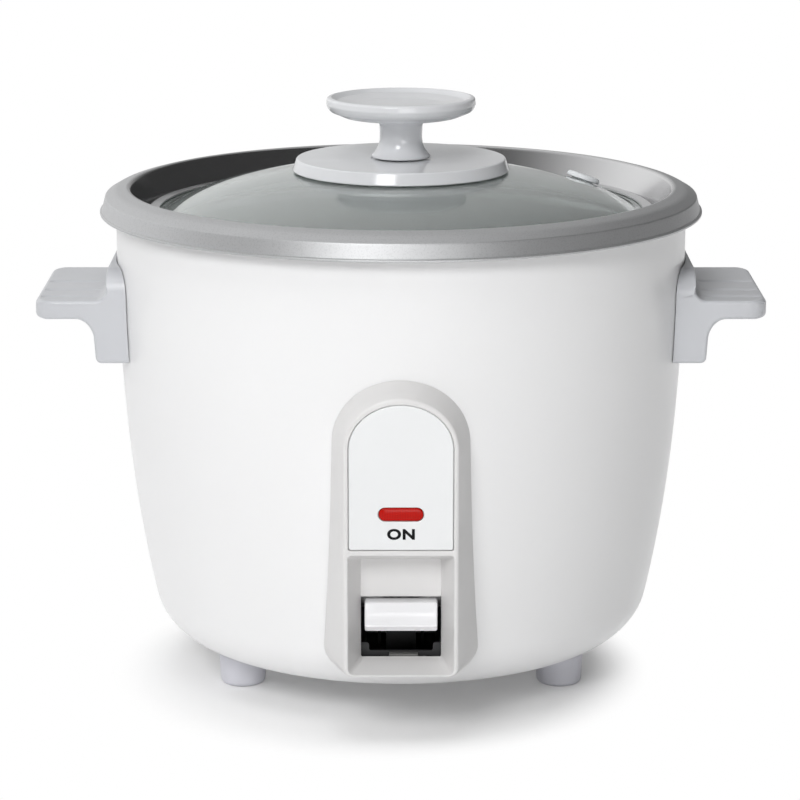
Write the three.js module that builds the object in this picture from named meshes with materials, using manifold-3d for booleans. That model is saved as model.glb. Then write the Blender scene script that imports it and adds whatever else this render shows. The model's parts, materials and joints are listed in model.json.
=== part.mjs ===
// A rice cooker with a lift-out pan, a domed glass lid and a press-down cooking switch.
// Millimetres, +Z up. The origin is on the body's axis, on the surface that the feet stand on.
// The switch faces -Y, the power inlet +Y, and the handles stand out along X.

import * as THREE from 'three';
import { mergeVertices } from 'three/addons/utils/BufferGeometryUtils.js';
import Module from 'manifold-3d';

const wasm = await Module();
wasm.setup();

// Clearances, and the number of flats that stand for a round
const gap = 0.3;
const bigSides = 40;
const hiddenSides = 32;
const midSides = 20;
const smallSides = 10;
// how far cuts and fixings reach past the body's wall
const wallReach = 25;

// Outer body: a drawn shell whose wall leans in towards a rounded bottom edge
const bodyR = 108.6;
const bodyTopZ = 178;
const bodyBottomZ = 13;
const bodyTaper = 11.4;
const bodyTaperHeight = 141;
const bodyTaperPower = 2.5;
const bodySheet = 1.2;
const bodyTopFlange = 4.4;
const bodyBottomFlangeInset = 50.6;
const bodyBottomFlangeR = bodyR - bodyBottomFlangeInset;
const cornerStartZ = 30;

// Feet, at even spacing with one at the rear
const footCount = 3;
const footInset = 12;
const footCircleR = bodyBottomFlangeR + footInset;
const footR = 9;
const footEdge = 2.5;
const footScrewR = 1.8;
const footScrewDepth = 7;
const screwHeadHeight = 2.2;
const screwHeadSpread = 1.9;

// Bottom plate, resting on the body's bottom flange
const plateLap = 14;
const plateR = bodyBottomFlangeR + plateLap;
const plateSheet = 1;
const ventCount = 10;
const ventInset = 11;
const ventCircleR = bodyBottomFlangeR - ventInset;
const ventLength = 14;
const ventWidth = 3;

// Inner case: the well round the pan
const caseSheet = 0.9;
const caseFloorRise = 33;
const caseFloorZ = bodyBottomZ + caseFloorRise;
const caseCornerR = 6;
const caseBottomInset = 14.2;
const caseBottomR = bodyR - caseBottomInset;
const caseWaistInset = 10.2;
const caseWaistR = bodyR - caseWaistInset;
const caseMouthInset = 5.2;
const caseMouthR = bodyR - caseMouthInset;
const caseMouthDrop = 11;
const caseMouthZ = bodyTopZ - caseMouthDrop;
const caseWaistDrop = 7;
const caseWaistZ = caseMouthZ - caseWaistDrop;
const caseRim = 4.6;

// Ring that covers the top edges of the body and the inner case
const ringWidth = 6.2;
const ringInnerR = bodyR - ringWidth;
const ringSheet = 1.6;

// Heating plate, its tubular element and the posts that carry it
const heaterRise = 20;
const heaterTopZ = caseFloorZ + heaterRise;
const heaterMargin = 12.4;
const heaterR = caseBottomR - heaterMargin;
const heaterThickness = 8;
const heaterEdge = 4;
const heaterBoreR = 17;
const elementInset = 26;
const elementR = heaterR - elementInset;
const elementTubeR = 3.5;
const elementDrop = 0.7;
const elementGapDegrees = 12;
const elementLegReach = 9;
const elementLegBottomZ = caseFloorZ - elementLegReach;
const elementHoleGap = 1;
const elementBendDegrees = 6;
const postInset = 10;
const postCircleR = heaterR - postInset;
const postR = 4;

// Thermostat on the axis
const capR = 14;
const capSheet = 1.2;
const capHeight = 9;
const capEdge = 1.5;
const ferriteR = 9.5;
const ferriteHeight = 4;
const magnetTravel = 4;
const magnetR = 9;
const magnetHeight = 5;
const sensorTubeR = 12.2;
const sensorTubeSheet = 1.2;
const sensorTubeRise = 10;
const sensorTubeTopZ = caseFloorZ + sensorTubeRise;
const sensorTubeLength = 14;
const sensorTubeBottomZ = sensorTubeTopZ - sensorTubeLength;
const sensorFlangeR = 19;
const sensorWireR = 0.6;
const sensorTurns = 3;
const magnetRodR = 2.5;
const magnetRodBottomZ = 21;
const collarR = 5.2;
const collarHeight = 1.5;
const magnetWireR = 0.6;
const magnetTurns = 5;

// Inner pan: floor, wall, lid ledge, and the wide rim that overhangs the body
const panSheet = 2;
const panCornerR = 22;
const panWallSpace = 5.6;
const panWallR = caseWaistR - panWallSpace;
const panFootDraft = 2.6;
const panFootR = panWallR - panFootDraft;
const ledgeWidth = 5.8;
const ledgeOuterR = panWallR + ledgeWidth;
const ledgeEdge = 1;
const rimInnerInset = 7.3;
const rimInnerR = bodyR - rimInnerInset;
const rimRoll = 1.6;
const rimEdgeOverhang = 3.7;
const rimEdgeR = bodyR + rimEdgeOverhang;
const rimSkirtOverhang = 6.1;
const rimSkirtR = bodyR + rimSkirtOverhang;
const rimSkirtZ = bodyTopZ;
const rimSkirtHeight = 6.7;
const rimEdgeZ = rimSkirtZ + rimSkirtHeight;
const rimSlope = 3.3;
const rimTopZ = rimEdgeZ + rimSlope;
const ledgeDrop = 14.4;
const ledgeZ = rimTopZ - ledgeDrop;

// Lid: domed glass in a steel band
const bandSideGap = 1.6;
const bandR = ledgeOuterR - bandSideGap;
const bandSheet = 0.7;
const bandLip = 4.7;
const glassThickness = 3;
const lidRise = 21.4;
const glassTopZ = ledgeZ + lidRise;
const domeSpreadR = bandR;
const glassRimWidth = 6;
const steamVentInset = 26;
const steamVentX = bandR - steamVentInset;
const steamVentY = 30;
const grommetR = 6.6;
const grommetLip = 1.6;
const grommetNeckR = 4.2;
const grommetBoreR = 1.5;
const grommetDip = 0.6;

// Knob
const flangeBottomR = 41.5;
const flangeDraft = 1.9;
const flangeTopR = flangeBottomR - flangeDraft;
const flangeDrop = 2;
const flangeBottomZ = glassTopZ - flangeDrop;
const flangeHeight = 4.7;
const flangeTopZ = flangeBottomZ + flangeHeight;
const stemR = 8.1;
const stemFlare = 3;
const stemFlareHeight = 7;
const stemHeight = 14.8;
const stemTopZ = flangeTopZ + stemHeight;
const gripR = 28.5;
const gripLipInset = 1.8;
const gripLipR = gripR - gripLipInset;
const gripHeight = 8.5;
const gripTopZ = stemTopZ + gripHeight;
const gripLipHeight = 2.8;
const gripMiddleZ = gripTopZ - gripLipHeight;
const gripUnderInset = 6.5;
const gripUnderR = gripR - gripUnderInset;
const gripDishDepth = 3;
const washerR = 24;
const washerHeight = 3.2;
const knobScrewR = 2.2;
const knobScrewHeadR = 5;
const knobScrewReach = 12;

// Handles
const handleHalfY = 35;
const gripReach = 28.7;
const gripOuterX = bodyR + gripReach;
const handleDrop = 29.2;
const gripTopHandleZ = bodyTopZ - handleDrop;
const gripThickness = 7.1;
const gripPlanR = 10;
const legReach = 6;
const legOuterX = bodyR + legReach;
const legHeight = 24;
const legBottomZ = gripTopHandleZ - legHeight;
const legCornerR = 2.2;
const underArcX = 8.6;
const underArcZ = 8;
const wallPlateRise = 11.2;
const wallPlateTopZ = gripTopHandleZ + wallPlateRise;
const wallPlateReach = 1.7;
const wallPlateX = bodyR + wallPlateReach;
const wallPlateFlare = 3.4;
const handleWall = 3.4;
const handleScrewInset = 15;
const handleScrewY = handleHalfY - handleScrewInset;
const handleScrewRise = 14.2;
const handleScrewZ = legBottomZ + handleScrewRise;
const handleScrewR = 1.7;
const handleScrewEnd = 0.9;
const gripEdgeR = 2.8;
const legLean = 0.6;

// Switch housing: a drafted arch on the front of the body
const housingReach = 9.4;
const housingFrontY = -bodyR - housingReach;
const housingHalfX = 20.6;
const housingTopZ = 130.8;
const housingArchRise = 18.8;
const housingArchZ = housingTopZ - housingArchRise;
const housingBottomZ = 28.4;
const housingCornerR = 5;
const housingDraft = 0.29;
const housingDepth = 34;
const ridgeWidth = 2.2;
const facePlateHalfX = housingHalfX - ridgeWidth;
const ridgeHeight = 2.8;
const facePlateTopZ = housingTopZ - ridgeHeight;
const facePlateHeight = 52.4;
const facePlateBottomZ = facePlateTopZ - facePlateHeight;
const facePlateThickness = 1.5;
const facePlateInset = 0.3;
const housingWall = 2;
const chamberInset = 3;
const alcoveRidge = 1.8;
const alcoveHalfX = housingHalfX - alcoveRidge;
const crossBar = 2.2;
const alcoveTopZ = facePlateBottomZ - crossBar;
const sillHeight = 1;
const alcoveSillZ = housingBottomZ + sillHeight;
const alcoveDepth = 12.5;
const alcoveDraft = 4.4;
const openingHalfX = alcoveHalfX - alcoveDraft;
const openingRise = 3.9;
const openingBottomZ = alcoveSillZ + openingRise;
const openingHeight = 21.7;
const openingTopZ = openingBottomZ + openingHeight;

// Lamp
const lensHalfX = 7.9;
const lensHalfZ = 2.3;
const lensRise = 13;
const lensZ = facePlateBottomZ + lensRise;
const lensProud = 0.3;
const lensFlange = 1.2;
const lampR = 2.3;
const lampLength = 12;
const lampDepth = 8.6;
const holderHalfX = 7.5;
const holderHalfZ = 3.6;
const lampWireHoleR = 4;
const lampWireHoleRise = 8.4;
const lampWireHoleZ = lensZ + lampWireHoleRise;

// Screws from inside the body into the housing
const housingScrewX = 9;
const housingScrewDrop = 4;
const housingScrewZ = housingArchZ - housingScrewDrop;
const housingScrewR = 1.7;
const housingBossR = 4;

// Switch lever: a tab on an arm that turns on a pin and lifts the magnet rod
const tabSideGap = 1.4;
const tabHalfX = openingHalfX - tabSideGap;
const tabSetback = 6;
const tabFrontY = housingFrontY + tabSetback;
const tabThickness = 8;
const tabBackY = tabFrontY + tabThickness;
const tabTopGap = 1;
const tabTopZ = openingTopZ - tabTopGap;
const tabHeight = 10.5;
const tabBottomZ = tabTopZ - tabHeight;
const tabBulge = 2.4;
const armHalfX = 7;
const armSheet = 2;
const armTipDepth = 5.4;
const armTipY = tabBackY - armTipDepth;
const armTipRise = 3.5;
const armTipZ = tabBottomZ + armTipRise;
const armStepRun = 5.5;
const armStepY = tabBackY + armStepRun;
const armStepDrop = 6;
const armRunZ = armTipZ - armStepDrop;
const armStepSlope = 5;
const armRunFrontY = armStepY + armStepSlope;
const armRunMargin = 12;
const armForkZ = 24;
const armForkMargin = 10;
const armForkReach = 1.5;
const forkDepth = 7;
const pivotY = -36;
const armRunBackY = pivotY - armRunMargin;
const armForkFrontY = pivotY + armForkMargin;
const pivotZ = 33;
const pivotR = 2;
const pivotBossR = 5;
const bracketHalfX = 13;
const bracketMargin = 5.3602;
const bracketSheet = 1.2;
const cheekHalfY = 6;
const bracketLap = 2;
const bracketBackY = pivotY + cheekHalfY + bracketLap;
const cheekTopZ = 38.5;

// Microswitch under the arm
const microHalfX = 5.5;
const microLength = 20;
const microInset = 4;
const microTopDrop = 5.5;
const microTopZ = armRunZ - microTopDrop;
const plungerR = 1.8;
const plungerSeat = 5.5;
const plungerBottomZ = microTopZ - plungerSeat;
const plungerStroke = 4;
const plungerBoreZ = plungerBottomZ - plungerStroke;

// Power inlet on the back of the body
const inletReach = 9.4;
const inletBackY = bodyR + inletReach;
const inletZ = 36;
const inletHalfX = 14;
const inletHalfZ = 10;
const inletWall = 2;
const inletPocketDepth = 17;
const inletPlugDepth = 28;
const inletPlugY = inletBackY - inletPlugDepth;
const inletEarHalfX = 24;
const inletEarSetback = 16.5;
const inletEarY = inletBackY - inletEarSetback;
const inletScrewX = 19.5;
const inletScrewR = 1.7;
const inletPinX = 6.5;
const inletPinR = 2.4;
const inletPinLength = 26;
const inletPinSetback = 6;
const inletPinEndY = inletBackY - inletPinSetback;

// Thermal fuse under the inner case, and the leads
const fuseX = 40;
const fuseR = 2.2;
const fuseLength = 13;
const clipWidth = 5;
const clipSheet = 0.8;
const leadR = 1.1;
const leadBend = 8;
const leadSag = 10;
const leadDrop = 6;

// Materials
function paint(color, roughness, metalness = 0) {
  return new THREE.MeshStandardMaterial({ color, roughness, metalness });
}

const whitePaint = paint(0xf8f8f8, 0.18);
const panCoat = paint(0xa9abae, 0.4, 0.7);
const glass = paint(0x9aa6a2, 0.05);
const steel = paint(0xc8cacc, 0.25, 1);
const aluminium = paint(0xb8babd, 0.4, 1);
const paleGrayPlastic = paint(0xc6c8cc, 0.35);
const knobPlastic = paint(0xd2d5da, 0.25);
const housingPlastic = paint(0xe6e3e6, 0.35);
const facePlastic = paint(0xf0f1f3, 0.3);
const tabPlastic = paint(0xf6f7fa, 0.2);
const lensPlastic = paint(0xc21f12, 0.3);
const lampGlass = paint(0xe0a080, 0.1);
const blackPlastic = paint(0x1c1c1e, 0.5);
const ferrite = paint(0x2c2c30, 0.6);
const brass = paint(0xb89a4c, 0.3, 1);
const leadSleeve = paint(0xe8e6e0, 0.6);
const silicone = paint(0xdfe6ee, 0.4);

const cooker = new THREE.Group();

// Solids

function solidOf(geometry) {
  const bare = geometry.clone();
  bare.deleteAttribute('normal');
  bare.deleteAttribute('uv');
  const merged = mergeVertices(bare, 1e-4);
  const corners = merged.index.array;
  const triangles = [];
  for (let i = 0; i < corners.length; i += 3) {
    const [a, b, c] = [corners[i], corners[i + 1], corners[i + 2]];
    // a ring of points that meets on the axis leaves triangles with no area
    if (a !== b && b !== c && c !== a) triangles.push(a, b, c);
  }
  return new wasm.Manifold(new wasm.Mesh({
    numProp: 3,
    vertProperties: new Float32Array(merged.getAttribute('position').array),
    triVerts: new Uint32Array(triangles),
  }));
}

function add(name, solid, material) {
  const { vertProperties, triVerts } = solid.getMesh();
  const geometry = new THREE.BufferGeometry();
  geometry.setAttribute('position', new THREE.BufferAttribute(vertProperties, 3));
  geometry.setIndex(new THREE.BufferAttribute(triVerts, 1));
  geometry.computeVertexNormals();
  const mesh = new THREE.Mesh(geometry, material);
  mesh.name = name;
  cooker.add(mesh);
  return mesh;
}

// A closed outline of [radius, height] points turned about Z
function turned(points, sides = bigSides) {
  const profile = points.map(([r, z]) => new THREE.Vector2(r, z));
  if (THREE.ShapeUtils.area(profile) < 0) profile.reverse();
  const onAxis = profile[0].x === 0 && profile.at(-1).x === 0;
  if (!onAxis) profile.push(profile[0].clone());
  return solidOf(new THREE.LatheGeometry(profile, sides).rotateX(Math.PI / 2));
}

function block(x0, x1, y0, y1, z0, z1) {
  const box = new THREE.BoxGeometry(x1 - x0, y1 - y0, z1 - z0);
  return solidOf(box.translate((x0 + x1) / 2, (y0 + y1) / 2, (z0 + z1) / 2));
}

// A round bar between two points
function bar(radius, from, to, sides = smallSides) {
  const start = new THREE.Vector3(...from);
  const run = new THREE.Vector3(...to).sub(start);
  const heading = new THREE.Quaternion();
  heading.setFromUnitVectors(new THREE.Vector3(0, 1, 0), run.clone().normalize());
  const geometry = new THREE.CylinderGeometry(radius, radius, run.length(), sides);
  geometry.applyQuaternion(heading);
  return solidOf(geometry.translate(...start.addScaledVector(run, 0.5).toArray()));
}

// A smooth curve through points
function smoothRoute(points) {
  const places = points.map((point) => new THREE.Vector3(...point));
  return new THREE.CatmullRomCurve3(places, false, 'centripetal');
}

// A tube along a curve
function tube(curve, radius, steps, sides = 8) {
  const section = new THREE.Shape().absarc(0, 0, radius, 0, 2 * Math.PI, false);
  const options = { extrudePath: curve, steps, curveSegments: sides / 2 };
  return solidOf(new THREE.ExtrudeGeometry(section, options));
}

// A shape drawn in X and Z, extruded along Y from y0 to y1
function extrudedY(shape, y0, y1, curveSegments = 10) {
  const geometry = new THREE.ExtrudeGeometry(shape, { depth: y1 - y0, bevelEnabled: false, curveSegments });
  return solidOf(geometry.rotateX(Math.PI / 2).translate(0, y1, 0));
}

// A shape drawn in X and Z that starts at y0 and grows by spread on every side over depth along Y;
// depth may run either way, and beyond it the shape goes on a little at its full size
function drafted(shape, y0, depth, spread, curveSegments = 10) {
  const run = Math.abs(depth);
  const geometry = new THREE.ExtrudeGeometry(shape, {
    depth: 1,
    bevelEnabled: true,
    bevelThickness: run,
    bevelSize: spread,
    bevelSegments: 1,
    curveSegments,
  });
  geometry.rotateX(Math.PI / 2);
  geometry.translate(0, depth > 0 ? y0 + run + 1 : y0 - run, 0);
  return solidOf(geometry);
}

// Outlines

// Points round an arc, with angles in degrees
function arc(r, z, radius, from, to, steps) {
  return Array.from({ length: steps + 1 }, (_, i) => {
    const angle = THREE.MathUtils.degToRad(from + ((to - from) * i) / steps);
    return [r + radius * Math.cos(angle), z + radius * Math.sin(angle)];
  });
}

// An open line made into a sheet: the line, and the same line moved to its left with mitred corners
function sheet(line, thickness) {
  const leftOf = ([r0, z0], [r1, z1]) => {
    const length = Math.hypot(r1 - r0, z1 - z0);
    return [(z0 - z1) / length, (r1 - r0) / length];
  };
  const moved = line.map(([r, z], i) => {
    const after = i < line.length - 1 ? leftOf(line[i], line[i + 1]) : leftOf(line[i - 1], line[i]);
    const before = i > 0 ? leftOf(line[i - 1], line[i]) : after;
    const reach = thickness / (1 + before[0] * after[0] + before[1] * after[1]);
    return [r + (before[0] + after[0]) * reach, z + (before[1] + after[1]) * reach];
  });
  return [...line, ...moved.reverse()];
}

function bodyRadius(z) {
  return bodyR - bodyTaper * Math.max(0, (bodyTopZ - z) / bodyTaperHeight) ** bodyTaperPower;
}

const lean = Math.atan(bodyRadius(cornerStartZ + 0.5) - bodyRadius(cornerStartZ - 0.5));
const cornerR = (cornerStartZ - bodyBottomZ) / (1 - Math.sin(lean));
const flatBottomR = bodyRadius(cornerStartZ) - cornerR * Math.cos(lean);

// The body's outer line moved out by offset, from the edge of its flat bottom up to topZ.
// The bottom edge is the arc that is tangent to the flat bottom and to the leaning wall.
function bodyLine(offset, topZ) {
  const leanDegrees = THREE.MathUtils.radToDeg(lean);
  const corner = arc(flatBottomR, bodyBottomZ + cornerR, cornerR + offset, -90, -leanDegrees, 4);
  const wallSteps = 4;
  const wall = Array.from({ length: wallSteps }, (_, i) => {
    const z = cornerStartZ + ((topZ - cornerStartZ) * (i + 1)) / wallSteps;
    return [bodyRadius(z) + offset, z];
  });
  return [...corner, ...wall];
}

// Everything inside the body's outer surface, grown by the gap: what is fixed to the body is cut by it
const bodyCore = turned([[0, bodyBottomZ - gap], ...bodyLine(gap, bodyTopZ), [0, bodyTopZ]]);

// A screw: a shank from the head's seat to its tip, and a round head behind the seat
function screw(radius, seat, tip) {
  const start = new THREE.Vector3(...seat);
  const along = new THREE.Vector3(...tip).sub(start).normalize();
  const back = start.clone().addScaledVector(along, -screwHeadHeight);
  const inside = start.clone().addScaledVector(along, -screwHeadHeight / 2);
  const head = bar(radius * screwHeadSpread, back.toArray(), seat);
  return head.add(bar(radius, inside.toArray(), tip));
}

// How far from the axis a screw head seats inside the body's round wall, at a height and off to one side
function innerSeat(screwR, side, z) {
  const headR = screwR * screwHeadSpread;
  const wallR = bodyRadius(z - headR) - bodySheet - gap;
  return Math.sqrt(wallR ** 2 - (Math.abs(side) + headR) ** 2);
}

// Places at even spacing round a circle; the last one is at the rear
function roundPlaces(count, radius) {
  return Array.from({ length: count }, (_, i) => {
    const angle = Math.PI / 2 + (2 * Math.PI * (i + 1)) / count;
    return [radius * Math.cos(angle), radius * Math.sin(angle)];
  });
}

const footPlaces = roundPlaces(footCount, footCircleR);
const footTopZ = bodyBottomZ - gap;
const plateBottomZ = bodyBottomZ + bodySheet + gap;
const plateTopZ = plateBottomZ + plateSheet;

// Body, feet and bottom plate

const handleScrewYs = [-handleScrewY, handleScrewY];

function outerBody() {
  const innerTopZ = bodyTopZ - bodySheet;
  const outside = bodyLine(0, bodyTopZ);
  const inside = bodyLine(-bodySheet, innerTopZ).reverse();
  const mouthR = bodyR - bodyTopFlange;
  let shell = turned([
    [bodyBottomFlangeR, bodyBottomZ],
    ...outside,
    [mouthR, bodyTopZ],
    [mouthR, innerTopZ],
    ...inside,
    [bodyBottomFlangeR, bodyBottomZ + bodySheet],
  ]);
  const through = [bodyR - wallReach, bodyR + wallReach];
  for (const [x, y] of footPlaces) {
    shell = shell.subtract(bar(footScrewR + gap, [x, y, 0], [x, y, plateTopZ]));
  }
  for (const side of [-1, 1]) {
    const [near, far] = through.map((reach) => side * reach);
    for (const y of handleScrewYs) {
      const hole = bar(handleScrewR + gap, [near, y, handleScrewZ], [far, y, handleScrewZ]);
      shell = shell.subtract(hole);
    }
    shell = shell.subtract(holeY(housingScrewR + gap, side * housingScrewX, housingScrewZ, -1));
    shell = shell.subtract(holeY(inletScrewR + gap, side * inletScrewX, inletZ, 1));
  }
  const frontCut = [-bodyR - wallReach, -bodyR + wallReach];
  const leverWindow = [openingBottomZ - gap, openingTopZ + gap];
  shell = shell.subtract(block(-openingHalfX, openingHalfX, ...frontCut, ...leverWindow));
  shell = shell.subtract(holeY(lampWireHoleR, 0, lampWireHoleZ, -1));
  const inletX = inletHalfX + gap;
  const inletWindow = [inletZ - inletHalfZ - gap, inletZ + inletHalfZ + gap];
  return shell.subtract(block(-inletX, inletX, bodyR - 2 * wallReach, bodyR + wallReach, ...inletWindow));
}

// A round cutter along Y through the front (-1) or the rear (1) of the body's wall
function holeY(radius, x, z, end) {
  return bar(radius, [x, end * (bodyR + wallReach), z], [x, end * (bodyR - wallReach), z]);
}

function foot() {
  const edge = arc(footR - footEdge, footEdge, footEdge, -90, 0, 3);
  const bore = bar(footScrewR + gap, [0, 0, footTopZ - footScrewDepth - gap], [0, 0, footTopZ + 1]);
  return turned([[0, 0], ...edge, [footR, footTopZ], [0, footTopZ]], midSides).subtract(bore);
}

function bottomPlate() {
  let plate = bar(plateR, [0, 0, plateBottomZ], [0, 0, plateTopZ], bigSides);
  for (const [x, y] of footPlaces) {
    plate = plate.subtract(bar(footScrewR + gap, [x, y, 0], [x, y, caseFloorZ]));
  }
  for (let i = 0; i < ventCount; i += 1) {
    const slot = new THREE.BoxGeometry(ventWidth, ventLength, caseFloorZ);
    slot.translate(0, ventCircleR, 0).rotateZ((2 * Math.PI * (i + 0.5)) / ventCount);
    plate = plate.subtract(solidOf(slot));
  }
  return plate;
}

add('outer_body', outerBody(), whitePaint);
add('bottom_plate', bottomPlate(), steel);
const footNames = ['front_left', 'front_right', 'rear'];
footPlaces.forEach(([x, y], i) => {
  const name = footNames[i] ?? `extra_${i}`;
  const seatZ = plateTopZ + gap;
  add(`foot_${name}`, foot(), paleGrayPlastic).position.set(x, y, 0);
  const shaft = screw(footScrewR, [0, 0, seatZ], [0, 0, footTopZ - footScrewDepth]);
  add(`foot_screw_${name}`, shaft, steel).position.set(x, y, 0);
});

// Inner case, top ring

const caseTopZ = bodyTopZ + gap;
const caseInnerFloorZ = caseFloorZ + caseSheet;
const postPlaces = roundPlaces(3, postCircleR);
const heaterBottomZ = heaterTopZ - heaterThickness;
const elementHalfGap = elementR * Math.sin(THREE.MathUtils.degToRad(elementGapDegrees));
const elementLegY = elementR * Math.cos(THREE.MathUtils.degToRad(elementGapDegrees));

function innerCase() {
  const boreR = sensorTubeR + gap;
  const line = [
    [boreR, caseFloorZ],
    ...arc(caseBottomR - caseCornerR, caseFloorZ + caseCornerR, caseCornerR, -90, 0, 3),
    [caseWaistR, caseWaistZ],
    [caseMouthR, caseMouthZ],
    [caseMouthR, caseTopZ],
    [caseMouthR + caseRim, caseTopZ],
  ];
  let well = turned(sheet(line, caseSheet), hiddenSides);
  for (const side of [-1, 1]) {
    const x = side * elementHalfGap;
    const legHole = [[x, elementLegY, elementLegBottomZ], [x, elementLegY, heaterBottomZ]];
    well = well.subtract(bar(elementTubeR + elementHoleGap, ...legHole));
  }
  return well;
}

function topRing() {
  const bottomZ = caseTopZ + caseSheet + gap;
  const topZ = bottomZ + ringSheet;
  return turned([[ringInnerR, bottomZ], [bodyR, bottomZ], [bodyR, topZ], [ringInnerR, topZ]]);
}

add('inner_case', innerCase(), aluminium);
add('top_ring', topRing(), paleGrayPlastic);

// Heating plate

function heatingPlate() {
  return turned([
    [heaterBoreR, heaterBottomZ],
    [heaterR, heaterBottomZ],
    [heaterR, heaterTopZ - heaterEdge],
    [heaterR - heaterEdge, heaterTopZ],
    [heaterBoreR, heaterTopZ],
  ]);
}

function heatingElement() {
  const z = heaterBottomZ - elementDrop - elementTubeR;
  const openDegrees = elementGapDegrees + elementBendDegrees;
  const turns = arc(0, 0, elementR, 90 + openDegrees, 450 - openDegrees, 24);
  const legs = (side) => [
    [side * elementHalfGap, elementLegY, elementLegBottomZ],
    [side * elementHalfGap, elementLegY, z - 2 * elementTubeR],
  ];
  const route = [...legs(-1), ...turns.map(([x, y]) => [x, y, z]), ...legs(1).reverse()];
  return tube(smoothRoute(route), elementTubeR, 40, 6);
}

add('heating_plate', heatingPlate(), aluminium);
add('heating_element', heatingElement(), steel);
postPlaces.forEach(([x, y], i) => {
  const post = bar(postR, [0, 0, caseInnerFloorZ + gap], [0, 0, heaterBottomZ - gap]);
  add(`heater_post_${i + 1}`, post, steel).position.set(x, y, 0);
});

// Thermostat

const capBottomZ = heaterTopZ - capHeight;
const ferriteTopZ = heaterTopZ - capSheet - gap;
const ferriteBottomZ = ferriteTopZ - ferriteHeight;
const magnetTopZ = ferriteBottomZ - gap - magnetTravel;
const magnetBottomZ = magnetTopZ - magnetHeight;
const sensorFlangeZ = caseInnerFloorZ + gap;
const forkTopZ = armForkZ + armSheet;
const collarBottomZ = forkTopZ + gap;
const collarTopZ = collarBottomZ + collarHeight;

function helix(radius, bottomZ, topZ, turns) {
  class Helix extends THREE.Curve {
    getPoint(t, target = new THREE.Vector3()) {
      const angle = 2 * Math.PI * turns * t;
      const z = bottomZ + (topZ - bottomZ) * t;
      return target.set(radius * Math.cos(angle), radius * Math.sin(angle), z);
    }
  }
  return new Helix();
}

function spring(radius, wireR, bottomZ, topZ, turns) {
  const coil = helix(radius, bottomZ + wireR, topZ - wireR, turns);
  return tube(coil, wireR, turns * 14, 4);
}

function sensorHousing() {
  const innerR = sensorTubeR - sensorTubeSheet;
  return turned([
    [magnetRodR + 2 * gap, sensorTubeBottomZ],
    [sensorTubeR, sensorTubeBottomZ],
    [sensorTubeR, sensorFlangeZ],
    [sensorFlangeR, sensorFlangeZ],
    [sensorFlangeR, sensorFlangeZ + sensorTubeSheet],
    [sensorTubeR, sensorFlangeZ + sensorTubeSheet],
    [sensorTubeR, sensorTubeTopZ],
    [innerR, sensorTubeTopZ],
    [innerR, sensorTubeBottomZ + sensorTubeSheet],
    [magnetRodR + 2 * gap, sensorTubeBottomZ + sensorTubeSheet],
  ], midSides);
}

function magnetRod() {
  const line = [
    [0, magnetRodBottomZ],
    [magnetRodR, magnetRodBottomZ],
    [magnetRodR, collarBottomZ],
    [collarR, collarBottomZ],
    [collarR, collarTopZ],
    [magnetRodR, collarTopZ],
    [magnetRodR, magnetBottomZ - gap],
    [0, magnetBottomZ - gap],
  ];
  return turned(line, smallSides);
}

const capLine = [
  [capR, capBottomZ],
  [capR, heaterTopZ - capEdge],
  [capR - capEdge, heaterTopZ],
  [0, heaterTopZ],
];
add('sensor_cap', turned(sheet(capLine, capSheet), midSides), aluminium);
add('ferrite_disc', bar(ferriteR, [0, 0, ferriteBottomZ], [0, 0, ferriteTopZ], midSides), ferrite);
add('sensor_housing', sensorHousing(), steel);
const sensorSeatZ = sensorFlangeZ + sensorTubeSheet + gap;
const sensorCoilR = sensorTubeR + 2 * gap + sensorWireR;
add('sensor_spring', spring(sensorCoilR, sensorWireR, sensorSeatZ, capBottomZ - gap, sensorTurns), steel);
add('magnet', bar(magnetR, [0, 0, magnetBottomZ], [0, 0, magnetTopZ], midSides), ferrite);
add('magnet_rod', magnetRod(), steel);
const magnetCoilR = magnetRodR + 2 * gap + 2 * magnetWireR;
const magnetSpringTopZ = sensorTubeBottomZ - gap;
const magnetCoil = spring(magnetCoilR, magnetWireR, collarTopZ + gap, magnetSpringTopZ, magnetTurns);
add('magnet_spring', magnetCoil, steel);

// Inner pan

const panFloorZ = heaterTopZ + gap + panSheet;

function innerPan() {
  const rollTop = arc(rimInnerR + rimRoll, rimTopZ - rimRoll, rimRoll, 170, 80, 3);
  const line = [
    [rimSkirtR, rimSkirtZ],
    [rimEdgeR, rimEdgeZ],
    ...rollTop.reverse(),
    [ledgeOuterR, ledgeZ],
    [panWallR + ledgeEdge, ledgeZ],
    [panWallR, ledgeZ - ledgeEdge],
    ...arc(panFootR - panCornerR, panFloorZ + panCornerR, panCornerR, 0, -90, 4),
    [0, panFloorZ],
  ];
  return turned(sheet(line, panSheet));
}

add('inner_pan', innerPan(), panCoat);

// Lid

const bandBottomZ = ledgeZ + gap;
const glassRimZ = bandBottomZ + bandSheet + gap;
const glassRimTopZ = glassRimZ + glassThickness;
const bandTopZ = glassRimTopZ + gap + bandSheet;
const glassR = bandR - bandSheet - gap;

const domeEdgeR = glassR - glassRimWidth;
// how far a dome of unit height falls from its top to a radius
const domeFall = (r) => 1 - Math.sqrt(1 - (r / domeSpreadR) ** 2);
// the dome's curve reaches the rim a little below the rim's flat top
const domeDip = 0.33;
const domeRise = (glassTopZ - glassRimTopZ + domeDip) / domeFall(domeEdgeR);

function domeZ(r) {
  return glassTopZ - domeRise * domeFall(r);
}

// Leans a solid built along Z at the origin over to the dome's normal at the steam vent
function atVent(solid) {
  const r = Math.hypot(steamVentX, steamVentY);
  const slope = domeZ(r - 0.5) - domeZ(r + 0.5);
  const lean = THREE.MathUtils.radToDeg(Math.atan(slope));
  const heading = THREE.MathUtils.radToDeg(Math.atan2(steamVentY, steamVentX));
  return solid.rotate([0, lean, heading]).translate([steamVentX, steamVentY, domeZ(r)]);
}

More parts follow.
